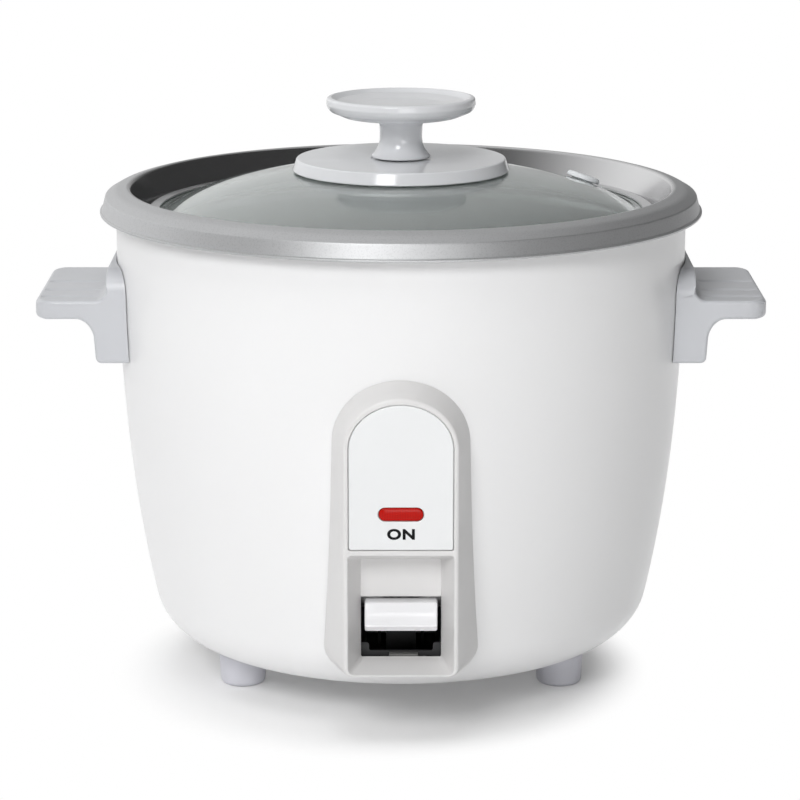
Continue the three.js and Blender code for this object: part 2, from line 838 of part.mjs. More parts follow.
function lidGlass() {
  const domeSteps = 5;
  // the last step meets the edge of the washer that seats under the glass
  const dome = Array.from({ length: domeSteps + 1 }, (_, i) => {
    const r = domeEdgeR + ((washerR - domeEdgeR) * i) / domeSteps;
    return [r, domeZ(r)];
  });
  const line = [[glassR, glassRimTopZ], ...dome, [0, glassTopZ]];
  const screwHole = bar(knobScrewR + gap, [0, 0, glassRimZ], [0, 0, gripTopZ], smallSides);
  const ventReach = 3 * glassThickness;
  const ventHole = atVent(bar(grommetNeckR + gap, [0, 0, -ventReach], [0, 0, ventReach], midSides));
  return turned(sheet(line, glassThickness)).subtract(screwHole).subtract(ventHole);
}

function lidBand() {
  const lipR = bandR - bandLip;
  const line = [[lipR, bandBottomZ], [bandR, bandBottomZ], [bandR, bandTopZ], [lipR, bandTopZ]];
  return turned(sheet(line, bandSheet));
}

// A spool through the glass, with a lip on each side; the glass curves down round the lower lip,
// which sits lower by the dip
function steamVent() {
  const over = gap;
  const under = -glassThickness - gap - grommetDip;
  return atVent(turned([
    [grommetBoreR, under - grommetLip],
    [grommetR - 1, under - grommetLip],
    [grommetR, under],
    [grommetNeckR, under],
    [grommetNeckR, over],
    [grommetR, over],
    [grommetR - 0.8, over + grommetLip],
    [grommetBoreR, over + grommetLip],
  ], midSides));
}

add('lid_glass', lidGlass(), glass);
add('lid_band', lidBand(), steel);
add('steam_vent', steamVent(), silicone);

// Knob

const glassUnderZ = (r) => domeZ(r) - glassThickness * 1.05;
const washerTopZ = glassUnderZ(washerR) - gap;
const washerBottomZ = washerTopZ - washerHeight;
const stemBottomZ = flangeTopZ + gap;

function knobFlange() {
  const steps = 4;
  const underside = Array.from({ length: steps + 1 }, (_, i) => {
    const r = ((flangeBottomR - 2) * (steps - i)) / steps;
    return [r, Math.max(domeZ(r) + gap, flangeBottomZ)];
  });
  const hole = bar(knobScrewR + gap, [0, 0, washerTopZ], [0, 0, gripTopZ]);
  const outside = [[0, flangeTopZ], [flangeTopR, flangeTopZ], [flangeBottomR, flangeBottomZ]];
  return turned([...outside, ...underside], hiddenSides).subtract(hole);
}

function knobGrip() {
  const flare = arc(stemR + stemFlareHeight, stemBottomZ + stemFlareHeight, stemFlareHeight, 180, 235, 3);
  const dish = [
    [gripLipR - 1.2, gripTopZ - 0.9],
    [gripLipR - 4, gripTopZ - gripDishDepth + 0.6],
    [gripLipR / 2, gripTopZ - gripDishDepth],
  ];
  const line = [
    [0, stemBottomZ],
    [stemR + stemFlare, stemBottomZ],
    ...flare.reverse(),
    [stemR, stemTopZ - 1.5],
    [stemR + 1.5, stemTopZ],
    [gripUnderR, stemTopZ + 0.9],
    [gripR - 1.6, gripMiddleZ - 2.6],
    [gripR, gripMiddleZ],
    [gripR - 0.5, gripTopZ - 0.7],
    [gripLipR, gripTopZ],
    ...dish,
    [0, gripTopZ - gripDishDepth],
  ];
  const bore = bar(knobScrewR + gap, [0, 0, washerTopZ], [0, 0, stemBottomZ + knobScrewReach + gap]);
  return turned(line, hiddenSides).subtract(bore);
}

add('knob_flange', knobFlange(), knobPlastic);
add('knob_grip', knobGrip(), knobPlastic);
const washerHole = bar(knobScrewR + gap, [0, 0, 0], [0, 0, gripTopZ]);
const washer = bar(washerR, [0, 0, washerBottomZ], [0, 0, washerTopZ], hiddenSides).subtract(washerHole);
add('knob_washer', washer, knobPlastic);
const knobHeadZ = washerBottomZ - gap - screwHeadHeight;
const knobShank = bar(knobScrewR, [0, 0, knobHeadZ + 1], [0, 0, stemBottomZ + knobScrewReach]);
const knobHead = bar(knobScrewHeadR, [0, 0, knobHeadZ], [0, 0, knobHeadZ + screwHeadHeight]);
add('knob_screw', knobShank.add(knobHead), steel);

// Handles

const gripBottomZ = gripTopHandleZ - gripThickness;
const handleScrewTipX = legOuterX - handleWall - handleScrewEnd;

// The side profile: a wall plate against the body, a flat grip on top and a leg below it
function handleProfile() {
  const shape = new THREE.Shape();
  const edgeR = gripEdgeR;
  const legTopX = legOuterX + legLean;
  const arcX = legOuterX + underArcX;
  const arcZ = gripBottomZ - underArcZ;
  shape.moveTo(bodyR - wallReach, legBottomZ);
  shape.lineTo(legOuterX - legCornerR, legBottomZ);
  shape.absarc(legOuterX - legCornerR, legBottomZ + legCornerR, legCornerR, -Math.PI / 2, 0, false);
  shape.lineTo(legTopX, arcZ);
  shape.absellipse(arcX, arcZ, arcX - legTopX, underArcZ, Math.PI, Math.PI / 2, true, 0);
  shape.lineTo(gripOuterX - edgeR, gripBottomZ);
  shape.absarc(gripOuterX - edgeR, gripBottomZ + edgeR, edgeR, -Math.PI / 2, 0, false);
  shape.absarc(gripOuterX - edgeR, gripTopHandleZ - edgeR, edgeR, 0, Math.PI / 2, false);
  shape.lineTo(wallPlateX + wallPlateFlare, gripTopHandleZ);
  shape.quadraticCurveTo(wallPlateX, gripTopHandleZ, wallPlateX, gripTopHandleZ + wallPlateFlare);
  shape.lineTo(wallPlateX, wallPlateTopZ);
  shape.lineTo(bodyR - wallReach, wallPlateTopZ);
  shape.closePath();
  return shape;
}

// The outline seen from above: square against the body, with rounded outer corners
function handlePlan() {
  const shape = new THREE.Shape();
  const cornerX = gripOuterX - gripPlanR;
  const cornerY = handleHalfY - gripPlanR;
  shape.moveTo(0, -handleHalfY);
  shape.lineTo(cornerX, -handleHalfY);
  shape.absarc(cornerX, -cornerY, gripPlanR, -Math.PI / 2, 0, false);
  shape.absarc(cornerX, cornerY, gripPlanR, 0, Math.PI / 2, false);
  shape.lineTo(0, handleHalfY);
  shape.closePath();
  const options = { depth: bodyTopZ, bevelEnabled: false, curveSegments: 5 };
  return solidOf(new THREE.ExtrudeGeometry(shape, options));
}

function handle() {
  const profile = extrudedY(handleProfile(), -handleHalfY, handleHalfY, 4);
  const innerY = handleHalfY - handleWall;
  const hollow = block(
    legOuterX - handleWall, gripOuterX - handleWall,
    -innerY, innerY,
    legBottomZ - 1, gripTopHandleZ - handleWall,
  );
  let solid = profile.intersect(handlePlan()).subtract(bodyCore).subtract(hollow);
  for (const y of handleScrewYs) {
    const start = [bodyR - wallReach, y, handleScrewZ];
    solid = solid.subtract(bar(handleScrewR + gap, start, [handleScrewTipX + gap, y, handleScrewZ]));
  }
  return solid;
}

function handleScrew(y) {
  const seatX = innerSeat(handleScrewR, y, handleScrewZ);
  return screw(handleScrewR, [seatX, y, handleScrewZ], [handleScrewTipX, y, handleScrewZ]);
}

for (const [side, turn] of [['right', 0], ['left', Math.PI]]) {
  add(`handle_${side}`, handle(), paleGrayPlastic).rotation.z = turn;
  for (const [place, y] of [['front', -handleScrewY], ['rear', handleScrewY]]) {
    const placedY = turn === 0 ? y : -y;
    add(`handle_screw_${side}_${place}`, handleScrew(placedY), steel).rotation.z = turn;
  }
}

// Switch housing

// An outline with straight sides, an arched top and rounded or square bottom corners
function archShape(halfX, bottomZ, archZ, topZ, cornerR = 0) {
  const shape = new THREE.Shape();
  shape.moveTo(-halfX + cornerR, bottomZ);
  shape.lineTo(halfX - cornerR, bottomZ);
  if (cornerR > 0) shape.absarc(halfX - cornerR, bottomZ + cornerR, cornerR, -Math.PI / 2, 0, false);
  shape.lineTo(halfX, archZ);
  shape.absellipse(0, archZ, halfX, topZ - archZ, 0, Math.PI, false, 0);
  const leftX = -halfX + cornerR;
  if (cornerR > 0) shape.absarc(leftX, bottomZ + cornerR, cornerR, Math.PI, 1.5 * Math.PI, false);
  shape.closePath();
  return shape;
}

function rectangleShape(x0, x1, z0, z1) {
  return new THREE.Shape([[x0, z0], [x1, z0], [x1, z1], [x0, z1]].map(([x, z]) => new THREE.Vector2(x, z)));
}

function stadium(halfX, halfZ, z) {
  const shape = new THREE.Shape();
  shape.absarc(halfX - halfZ, z, halfZ, -Math.PI / 2, Math.PI / 2, false);
  shape.absarc(-halfX + halfZ, z, halfZ, Math.PI / 2, 1.5 * Math.PI, false);
  shape.closePath();
  return shape;
}

const facePlateFrontY = housingFrontY + facePlateInset;
const facePlateBackY = facePlateFrontY + facePlateThickness;
const recessY = facePlateBackY + gap;
const chamberFrontY = recessY + housingWall;

// A cutter for the hole that the lamp's lens shows through
function lensHole() {
  const outline = stadium(lensHalfX + gap, lensHalfZ + gap, lensZ);
  return extrudedY(outline, housingFrontY - 1, chamberFrontY + 1, 5);
}

function switchHousing() {
  const outline = archShape(housingHalfX, housingBottomZ, housingArchZ, housingTopZ, housingCornerR);
  let solid = drafted(outline, housingFrontY, housingDepth, housingDepth * housingDraft);
  const halfReach = housingHalfX + housingDepth;
  solid = solid.intersect(
    block(-halfReach, halfReach, housingFrontY, housingFrontY + housingDepth, 0, bodyTopZ),
  );
  const recess = archShape(facePlateHalfX + gap, facePlateBottomZ - gap, housingArchZ, facePlateTopZ + gap);
  solid = solid.subtract(extrudedY(recess, housingFrontY - 1, recessY));
  const chamber = archShape(
    facePlateHalfX - chamberInset, facePlateBottomZ + chamberInset,
    housingArchZ, facePlateTopZ - chamberInset,
  );
  solid = solid.subtract(extrudedY(chamber, chamberFrontY, housingFrontY + housingDepth + 1));
  const insideY = -bodyR + wallReach / 2;
  for (const side of [-1, 1]) {
    const x = side * housingScrewX;
    const bossEnds = [[x, chamberFrontY - housingWall / 2, housingScrewZ], [x, insideY, housingScrewZ]];
    const boreEnds = [[x, chamberFrontY + gap, housingScrewZ], [x, insideY + 1, housingScrewZ]];
    solid = solid.add(bar(housingBossR, ...bossEnds)).subtract(bar(housingScrewR + gap, ...boreEnds));
  }
  const back = rectangleShape(
    -alcoveHalfX + alcoveDraft, alcoveHalfX - alcoveDraft,
    alcoveSillZ + alcoveDraft, alcoveTopZ - alcoveDraft,
  );
  const alcove = drafted(back, housingFrontY + alcoveDepth, -alcoveDepth, alcoveDraft);
  const opening = block(
    -openingHalfX, openingHalfX,
    housingFrontY, housingFrontY + housingDepth + 1,
    openingBottomZ, openingTopZ,
  );
  return solid.subtract(alcove).subtract(opening).subtract(lensHole()).subtract(bodyCore);
}

function facePlate() {
  const outline = archShape(facePlateHalfX, facePlateBottomZ, housingArchZ, facePlateTopZ);
  return extrudedY(outline, facePlateFrontY, facePlateBackY).subtract(lensHole());
}

function lampLens() {
  const flangeY = chamberFrontY + gap;
  const front = stadium(lensHalfX, lensHalfZ, lensZ);
  const flange = stadium(lensHalfX + lensFlange, lensHalfZ + lensFlange, lensZ);
  const window = extrudedY(front, facePlateFrontY - lensProud, flangeY + lensFlange / 2, 5);
  return window.add(extrudedY(flange, flangeY, flangeY + lensFlange, 5));
}

function lampHolder() {
  const y = housingFrontY + lampDepth;
  const seat = block(
    -holderHalfX, holderHalfX,
    y, -bodyR + wallReach / 2,
    lensZ - holderHalfZ, lensZ + holderHalfZ,
  );
  const groove = bar(lampR + gap, [-holderHalfX - 1, y, lensZ], [holderHalfX + 1, y, lensZ]);
  return seat.subtract(groove).subtract(bodyCore);
}

function neonLamp() {
  const y = housingFrontY + lampDepth;
  return bar(lampR, [-lampLength / 2, y, lensZ], [lampLength / 2, y, lensZ]);
}

function housingScrew(x) {
  const seatY = -innerSeat(housingScrewR, x, housingScrewZ);
  return screw(housingScrewR, [x, seatY, housingScrewZ], [x, chamberFrontY + 2 * gap, housingScrewZ]);
}

add('switch_housing', switchHousing(), housingPlastic);
add('face_plate', facePlate(), facePlastic);
add('lamp_lens', lampLens(), lensPlastic);
add('neon_lamp', neonLamp(), lampGlass);
add('lamp_holder', lampHolder(), facePlastic);
for (const [name, side] of [['left', -1], ['right', 1]]) {
  add(`housing_screw_${name}`, housingScrew(side * housingScrewX), steel);
}

// Switch lever

// A shape drawn in Y and Z, extruded along X from -halfX to halfX
function extrudedX(points, halfX) {
  const shape = new THREE.Shape(points.map(([y, z]) => new THREE.Vector2(y, z)));
  const geometry = new THREE.ExtrudeGeometry(shape, { depth: 2 * halfX, bevelEnabled: false });
  return solidOf(geometry.rotateX(Math.PI / 2).rotateZ(Math.PI / 2).translate(-halfX, 0, 0));
}

// The tab bulges forward between its top and bottom edges, and holds the arm's tip in a slot at its back
function leverTab() {
  const steps = 6;
  const front = Array.from({ length: steps + 1 }, (_, i) => {
    const t = i / steps;
    const bulge = tabBulge * Math.sin(Math.PI * t);
    return [tabFrontY + tabBulge - bulge, tabTopZ + (tabBottomZ - tabTopZ) * t];
  });
  const slot = block(
    -armHalfX - gap, armHalfX + gap,
    armTipY - gap, tabBackY + 1,
    armTipZ - gap, armTipZ + armSheet + gap,
  );
  return extrudedX([...front, [tabBackY, tabBottomZ], [tabBackY, tabTopZ]], tabHalfX).subtract(slot);
}

function leverArm() {
  const line = [
    [armTipY, armTipZ],
    [armStepY, armTipZ],
    [armRunFrontY, armRunZ],
    [armRunBackY, armRunZ],
    [armForkFrontY, armForkZ],
    [armForkReach, armForkZ],
  ];
  const across = (r, reach) => bar(r, [-reach, pivotY, pivotZ], [reach, pivotY, pivotZ], 16);
  const slotHalf = magnetRodR + 2 * gap;
  const slotY = [armForkReach - forkDepth, armForkReach + 1];
  const slot = block(-slotHalf, slotHalf, ...slotY, armForkZ - 1, forkTopZ + 1);
  const strip = extrudedX(sheet(line, armSheet), armHalfX).add(across(pivotBossR, armHalfX));
  return strip.subtract(across(pivotR + gap, armHalfX + 1)).subtract(slot);
}

const bracketBottomZ = plateTopZ + gap;
const bracketTopZ = bracketBottomZ + bracketSheet;
const cheekX = armHalfX + 2 * gap;

const bracketFrontY = -flatBottomR - bracketMargin;
const microFrontY = bracketFrontY + microInset;
const microBackY = microFrontY + microLength;
const plungerY = (microFrontY + microBackY) / 2;

function switchBracket() {
  const baseX = [-bracketHalfX, bracketHalfX];
  const cheekY = [pivotY - cheekHalfY, pivotY + cheekHalfY];
  let bracket = block(...baseX, bracketFrontY, bracketBackY, bracketBottomZ, bracketTopZ);
  for (const x of [-cheekX - bracketSheet, cheekX]) {
    bracket = bracket.add(block(x, x + bracketSheet, ...cheekY, bracketBottomZ, cheekTopZ));
  }
  const reach = bracketHalfX + 1;
  return bracket.subtract(bar(pivotR + gap, [-reach, pivotY, pivotZ], [reach, pivotY, pivotZ], 16));
}

function microswitch() {
  const box = block(-microHalfX, microHalfX, microFrontY, microBackY, bracketTopZ + gap, microTopZ);
  return box.subtract(bar(plungerR + gap, [0, plungerY, plungerBoreZ], [0, plungerY, microTopZ + 1]));
}

add('lever_tab', leverTab(), tabPlastic);
add('lever_arm', leverArm(), steel);
const pinReach = cheekX + bracketSheet + 1;
add('lever_pivot_pin', bar(pivotR, [-pinReach, pivotY, pivotZ], [pinReach, pivotY, pivotZ], 16), steel);
add('switch_bracket', switchBracket(), steel);
add('microswitch', microswitch(), blackPlastic);
const plunger = bar(plungerR, [0, plungerY, plungerBottomZ], [0, plungerY, armRunZ - gap]);
add('microswitch_plunger', plunger, tabPlastic);

// Power inlet

function inletHousing() {
  const pocketX = inletHalfX - inletWall;
  const pocketZ = inletHalfZ - inletWall;
  const shroud = block(
    -inletHalfX, inletHalfX, inletPlugY, inletBackY, inletZ - inletHalfZ, inletZ + inletHalfZ,
  );
  const ears = block(
    -inletEarHalfX, inletEarHalfX, bodyR - wallReach, inletEarY, inletZ - inletHalfZ, inletZ + inletHalfZ,
  );
  let solid = shroud.add(ears.subtract(bodyCore));
  const pocket = block(
    -pocketX, pocketX, inletBackY - inletPocketDepth, inletBackY + 1, inletZ - pocketZ, inletZ + pocketZ,
  );
  solid = solid.subtract(pocket);
  for (const side of [-1, 1]) {
    solid = solid.subtract(holeY(inletPinR + gap, side * inletPinX, inletZ, 1));
    solid = solid.subtract(holeY(inletScrewR + gap, side * inletScrewX, inletZ, 1));
  }
  return solid;
}

add('inlet_housing', inletHousing(), blackPlastic);
for (const [name, side] of [['left', -1], ['right', 1]]) {
  const pinX = side * inletPinX;
  const pin = bar(inletPinR, [pinX, inletPinEndY - inletPinLength, inletZ], [pinX, inletPinEndY, inletZ]);
  add(`inlet_pin_${name}`, pin, brass);
  const screwX = side * inletScrewX;
  const shaft = screw(inletScrewR, [screwX, inletEarY + gap, inletZ], [screwX, inletPlugY - 2, inletZ]);
  add(`inlet_screw_${name}`, shaft, steel);
}

// Thermal fuse and leads

const fuseZ = caseFloorZ - gap - clipSheet - gap - fuseR;

function fuseClip() {
  const outer = fuseR + gap + clipSheet;
  const clipY = [-clipWidth / 2, clipWidth / 2];
  const body = block(fuseX - outer, fuseX + outer, ...clipY, fuseZ - outer, caseFloorZ - gap);
  return body.subtract(bar(fuseR + gap, [fuseX, -clipWidth, fuseZ], [fuseX, clipWidth, fuseZ], 16));
}

function lead(points) {
  return tube(smoothRoute(points), leadR, 16, 6);
}

add('thermal_fuse', bar(fuseR, [fuseX, -fuseLength / 2, fuseZ], [fuseX, fuseLength / 2, fuseZ]), steel);
add('fuse_clip', fuseClip(), steel);
const pinInnerY = inletPinEndY - inletPinLength - gap - leadR;
const legEndZ = elementLegBottomZ - gap - leadR;
add('lead_live', lead([
  [inletPinX, pinInnerY, inletZ],
  [inletPinX + 2 * leadBend, pinInnerY - 2 * leadSag, inletZ - leadDrop],
  [fuseX, 3 * leadSag, fuseZ - leadDrop],
  [fuseX, fuseLength / 2 + gap + leadR, fuseZ],
]), leadSleeve);
add('lead_fuse', lead([
  [fuseX, -fuseLength / 2 - gap - leadR, fuseZ],
  [fuseX - leadBend, -2 * leadBend, fuseZ - leadBend],
  [fuseX - 2 * leadSag, leadBend + leadDrop, fuseZ - leadSag],
  [elementHalfGap + leadBend / 4, 4 * leadSag, fuseZ - leadSag],
  [elementHalfGap, elementLegY, legEndZ],
]), leadSleeve);
add('lead_neutral', lead([
  [-inletPinX, pinInnerY, inletZ],
  [-inletPinX - leadDrop, pinInnerY - leadBend, inletZ - leadDrop],
  [-elementHalfGap - leadBend / 2, elementLegY + leadBend, legEndZ - leadSag / 2],
  [-elementHalfGap, elementLegY, legEndZ],
]), leadSleeve);

export default cooker;
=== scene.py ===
import json
import math

import bmesh
import bpy
import numpy as np
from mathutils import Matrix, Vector

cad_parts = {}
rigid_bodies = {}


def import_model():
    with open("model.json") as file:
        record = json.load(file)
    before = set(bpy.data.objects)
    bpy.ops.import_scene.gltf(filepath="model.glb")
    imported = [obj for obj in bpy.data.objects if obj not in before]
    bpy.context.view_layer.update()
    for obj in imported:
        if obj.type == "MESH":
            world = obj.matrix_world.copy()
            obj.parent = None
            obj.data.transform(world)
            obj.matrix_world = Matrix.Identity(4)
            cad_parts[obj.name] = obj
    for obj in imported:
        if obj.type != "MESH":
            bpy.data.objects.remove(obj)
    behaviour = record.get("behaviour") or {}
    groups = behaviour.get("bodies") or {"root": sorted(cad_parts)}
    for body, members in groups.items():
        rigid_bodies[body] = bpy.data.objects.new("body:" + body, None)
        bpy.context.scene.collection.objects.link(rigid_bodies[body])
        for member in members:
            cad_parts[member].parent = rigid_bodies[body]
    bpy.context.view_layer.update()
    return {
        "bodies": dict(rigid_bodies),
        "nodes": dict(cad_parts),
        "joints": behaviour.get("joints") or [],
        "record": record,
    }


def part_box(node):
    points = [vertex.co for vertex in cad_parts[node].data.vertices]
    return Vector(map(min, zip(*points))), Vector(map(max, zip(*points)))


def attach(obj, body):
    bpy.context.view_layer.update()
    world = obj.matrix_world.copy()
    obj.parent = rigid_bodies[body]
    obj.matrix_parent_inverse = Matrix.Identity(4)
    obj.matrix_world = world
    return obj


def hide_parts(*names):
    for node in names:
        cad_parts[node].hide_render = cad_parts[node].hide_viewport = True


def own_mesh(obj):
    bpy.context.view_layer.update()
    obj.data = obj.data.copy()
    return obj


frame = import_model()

mm = 0.001
print("frame loaded:", len(frame["nodes"]), "nodes")


camera = {
    "place": (0.0, -1.1689, 0.3743),  # metres
    "down": 13.08,  # degrees below level
    "lens": 139.1,
    "sensor": 36.0,
    "shiftX": -0.00125,
    "clip": (0.05, 40.0),
}


def setCamera():
    # looks along y, turned down from level
    data = bpy.data.cameras.new("camera")
    data.lens, data.sensor_width, data.shift_x = camera["lens"], camera["sensor"], camera["shiftX"]
    data.clip_start, data.clip_end = camera["clip"]
    eye = bpy.data.objects.new("camera", data)
    eye.location = camera["place"]
    eye.rotation_euler = (math.radians(90 - camera["down"]), 0, 0)
    bpy.context.scene.collection.objects.link(eye)
    bpy.context.scene.camera = eye


setCamera()


def boxOf(node):
    # the node's low and high corners in millimetres, as are all lines and grids up to meshOf
    low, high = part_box(node)
    return np.array(low) / mm, np.array(high) / mm


def unit(v):
    # each vector over its own length
    return v / np.maximum(np.linalg.norm(v, axis=-1, keepdims=True), 1e-12)


def tidyLine(line):
    # leaves out a point that stands where the one before it does
    return line[np.r_[True, np.linalg.norm(np.diff(line, axis=0), axis=-1) > 1e-5]]


def filleted(corners, steps=5):
    # An open line whose corners (a, b, radius) become arcs: ends radius / tan(half the corner) away, centre
    # radius / sin(half) along the bisector, points the spherical mean of the two end directions.
    corner = np.array([(*c, 0)[:3] for c in corners], float)
    point, radius = corner[:, :2], corner[1:-1, 2:]
    back, ahead = unit(point[:-2] - point[1:-1]), unit(point[2:] - point[1:-1])
    half = np.arccos(np.clip((back * ahead).sum(-1, keepdims=True), -1, 1)) / 2
    start = point[1:-1] + back * radius / np.tan(half)
    end = point[1:-1] + ahead * radius / np.tan(half)
    centre = point[1:-1] + unit(back + ahead) * radius / np.sin(half)
    turn = (np.pi - 2 * half)[:, None]
    share = np.linspace(0, 1, steps + 1)[None, :, None]
    fromStart, fromEnd = (start - centre)[:, None], (end - centre)[:, None]
    arcs = np.sin((1 - share) * turn) * fromStart + np.sin(share * turn) * fromEnd
    arcs = centre[:, None] + arcs / np.maximum(np.sin(turn), 1e-9)
    return tidyLine(np.vstack([point[:1], arcs.reshape(-1, 2), point[-1:]]))


def thickened(line, thickness):
    # A closed loop: the line, and the line moved to its left along the mean normal of its two segments
    step = unit(np.diff(line, axis=0))
    side = np.stack([-step[:, 1], step[:, 0]], -1)
    mean = unit(np.vstack([side[:1], side[:-1] + side[1:], side[-1:]]))
    stretch = 1 / np.maximum((mean * np.vstack([side[:1], side])).sum(-1, keepdims=True), 0.3)
    moved = line + mean * stretch * thickness
    moved[:, 0] = np.where(line[:, 0] < 1e-6, 0, moved[:, 0])
    return np.vstack([line, moved[::-1]])


def turned(profile, sides, centre=(0, 0)):
    # point(u, v) = (r(v) cos u, r(v) sin u, z(v)) about an upright axis
    angle = np.linspace(0, 2 * np.pi, sides, endpoint=False)[:, None]
    r, z = np.asarray(profile, float).T
    grid = np.stack([r * np.cos(angle), r * np.sin(angle), z + 0 * angle], -1)
    return grid + np.array([*centre, 0])


def roundLoop(profile, sides, centre=(0, 0)):
    # a closed profile turned into a ring, or one from axis to axis turned into a solid
    ring = profile[0][0] > 1e-6 or profile[-1][0] > 1e-6
    return turned(profile, sides, centre), True, ring, ""


def closed(grid):
    # a surface whose rows wrap round and whose two ends are capped
    return grid, False, True, "first last"


def quarterTurn(count):
    # angles from nothing to a right angle
    return np.linspace(0, np.pi / 2, count)


def fromCorner(points, r, z):
    # points given as (inwards, down, rounding) from the corner (r, z)
    return [(r - inwards, z - down, *rest) for inwards, down, *rest in points]


def gridFaces(rows, columns, wrapRows, wrapColumns, start):
    # four-sided faces between each point, the next in its row and the two above
    index = np.arange(rows * columns).reshape(rows, columns) + start
    if wrapRows:
        index = np.vstack([index, index[:1]])
    if wrapColumns:
        index = np.hstack([index, index[:, :1]])
    corners = [index[:-1, :-1], index[1:, :-1], index[1:, 1:], index[:-1, 1:]]
    return np.stack(corners, -1).reshape(-1, 4).tolist()


def welded(mesh, gap, fills=()):
    # points nearer than the gap become one, open edges within each fill (a range of y) get flat faces, and
    # all faces turn outward
    work = bmesh.new()
    work.from_mesh(mesh)
    bmesh.ops.remove_doubles(work, verts=work.verts, dist=gap)
    bmesh.ops.dissolve_degenerate(work, edges=work.edges, dist=1e-6)
    for low, high in fills:
        rim = [e for e in work.edges if e.is_boundary and all(low < v.co.y / mm < high for v in e.verts)]
        bmesh.ops.triangle_fill(work, edges=rim, use_beauty=True, use_dissolve=False)
    bmesh.ops.recalc_face_normals(work, faces=work.faces)
    work.to_mesh(mesh)
    work.free()
    return mesh


def meshOf(name, surfaces, fills=()):
    # the surfaces (grid, rows wrap, columns wrap, capped ends) become one closed mesh
    points, faces, start = [], [], 0
    for grid, wrapRows, wrapColumns, caps in surfaces:
        rows, columns = grid.shape[:2]
        faces += gridFaces(rows, columns, wrapRows, wrapColumns, start)
        if "first" in caps:
            faces.append(list(range(start, start + columns)))
        if "last" in caps:
            faces.append(list(range(start + (rows - 1) * columns, start + rows * columns)))
        points.append(grid.reshape(-1, 3) * mm)
        start += rows * columns
    mesh = bpy.data.meshes.new(name)
    mesh.from_pydata(np.concatenate(points), [], faces)
    return welded(mesh, 2e-6, fills)


def placed(name, mesh):
    piece = bpy.data.objects.new(name, mesh)
    bpy.context.scene.collection.objects.link(piece)
    return piece


def plainMesh(thing):
    # the mesh that the thing's modifiers or letters come to
    bpy.context.view_layer.update()
    return bpy.data.meshes.new_from_object(thing.evaluated_get(bpy.context.evaluated_depsgraph_get()))


def cutOut(piece, surfaces):
    # takes the closed form made of the surfaces out of the piece
    cutter = placed("cutter", meshOf("cutter", surfaces))
    cut = piece.modifiers.new("cut", "BOOLEAN")
    cut.operation, cut.solver, cut.object = "DIFFERENCE", "EXACT", cutter
    result = plainMesh(piece)
    piece.modifiers.clear()
    piece.data = result
    bpy.data.objects.remove(cutter)


def dressed(piece, body, finish):
    piece.data.materials.clear()
    piece.data.materials.append(finish)
    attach(piece, body)


def buildPiece(name, surfaces, body, slot, finish, replaces=(), fills=(), cuts=(), sharp=38):
    # one visible piece: mesh, holes, smooth faces with edges sharp above the angle, finish and body
    piece = placed(name, meshOf(name, surfaces, fills))
    for cut in cuts:
        cutOut(piece, cut)
    mesh = piece.data
    mesh.polygons.foreach_set("use_smooth", np.ones(len(mesh.polygons), bool))
    mesh.set_sharp_from_angle(angle=math.radians(sharp))
    even = piece.modifiers.new("evenNormals", "WEIGHTED_NORMAL")
    even.keep_sharp, even.weight = True, 50
    dressed(piece, body, finish)
    if replaces:
        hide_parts(*replaces)
    return piece


class Signal:
    # a socket that can be used in sums
    def __init__(self, sheet, socket):
        self.sheet, self.socket = sheet, socket

    def sum(self, operation, first, second, clamp=False):
        settings = {"operation": operation, "use_clamp": clamp}
        return self.sheet.add("Math", settings, {0: first, 1: second})

    def __add__(self, other):
        return self.sum("ADD", self, other)

    __radd__ = __add__

    def __mul__(self, other):
        return self.sum("MULTIPLY", self, other)

    __rmul__ = __mul__

    def __sub__(self, other):
        return self.sum("SUBTRACT", self, other)

    def __pow__(self, other):
        return self.sum("POWER", self, other)

    def wave(self):
        return self.sum("SINE", self, 0)

    def clamped(self):
        return self.sum("ADD", self, 0, True)


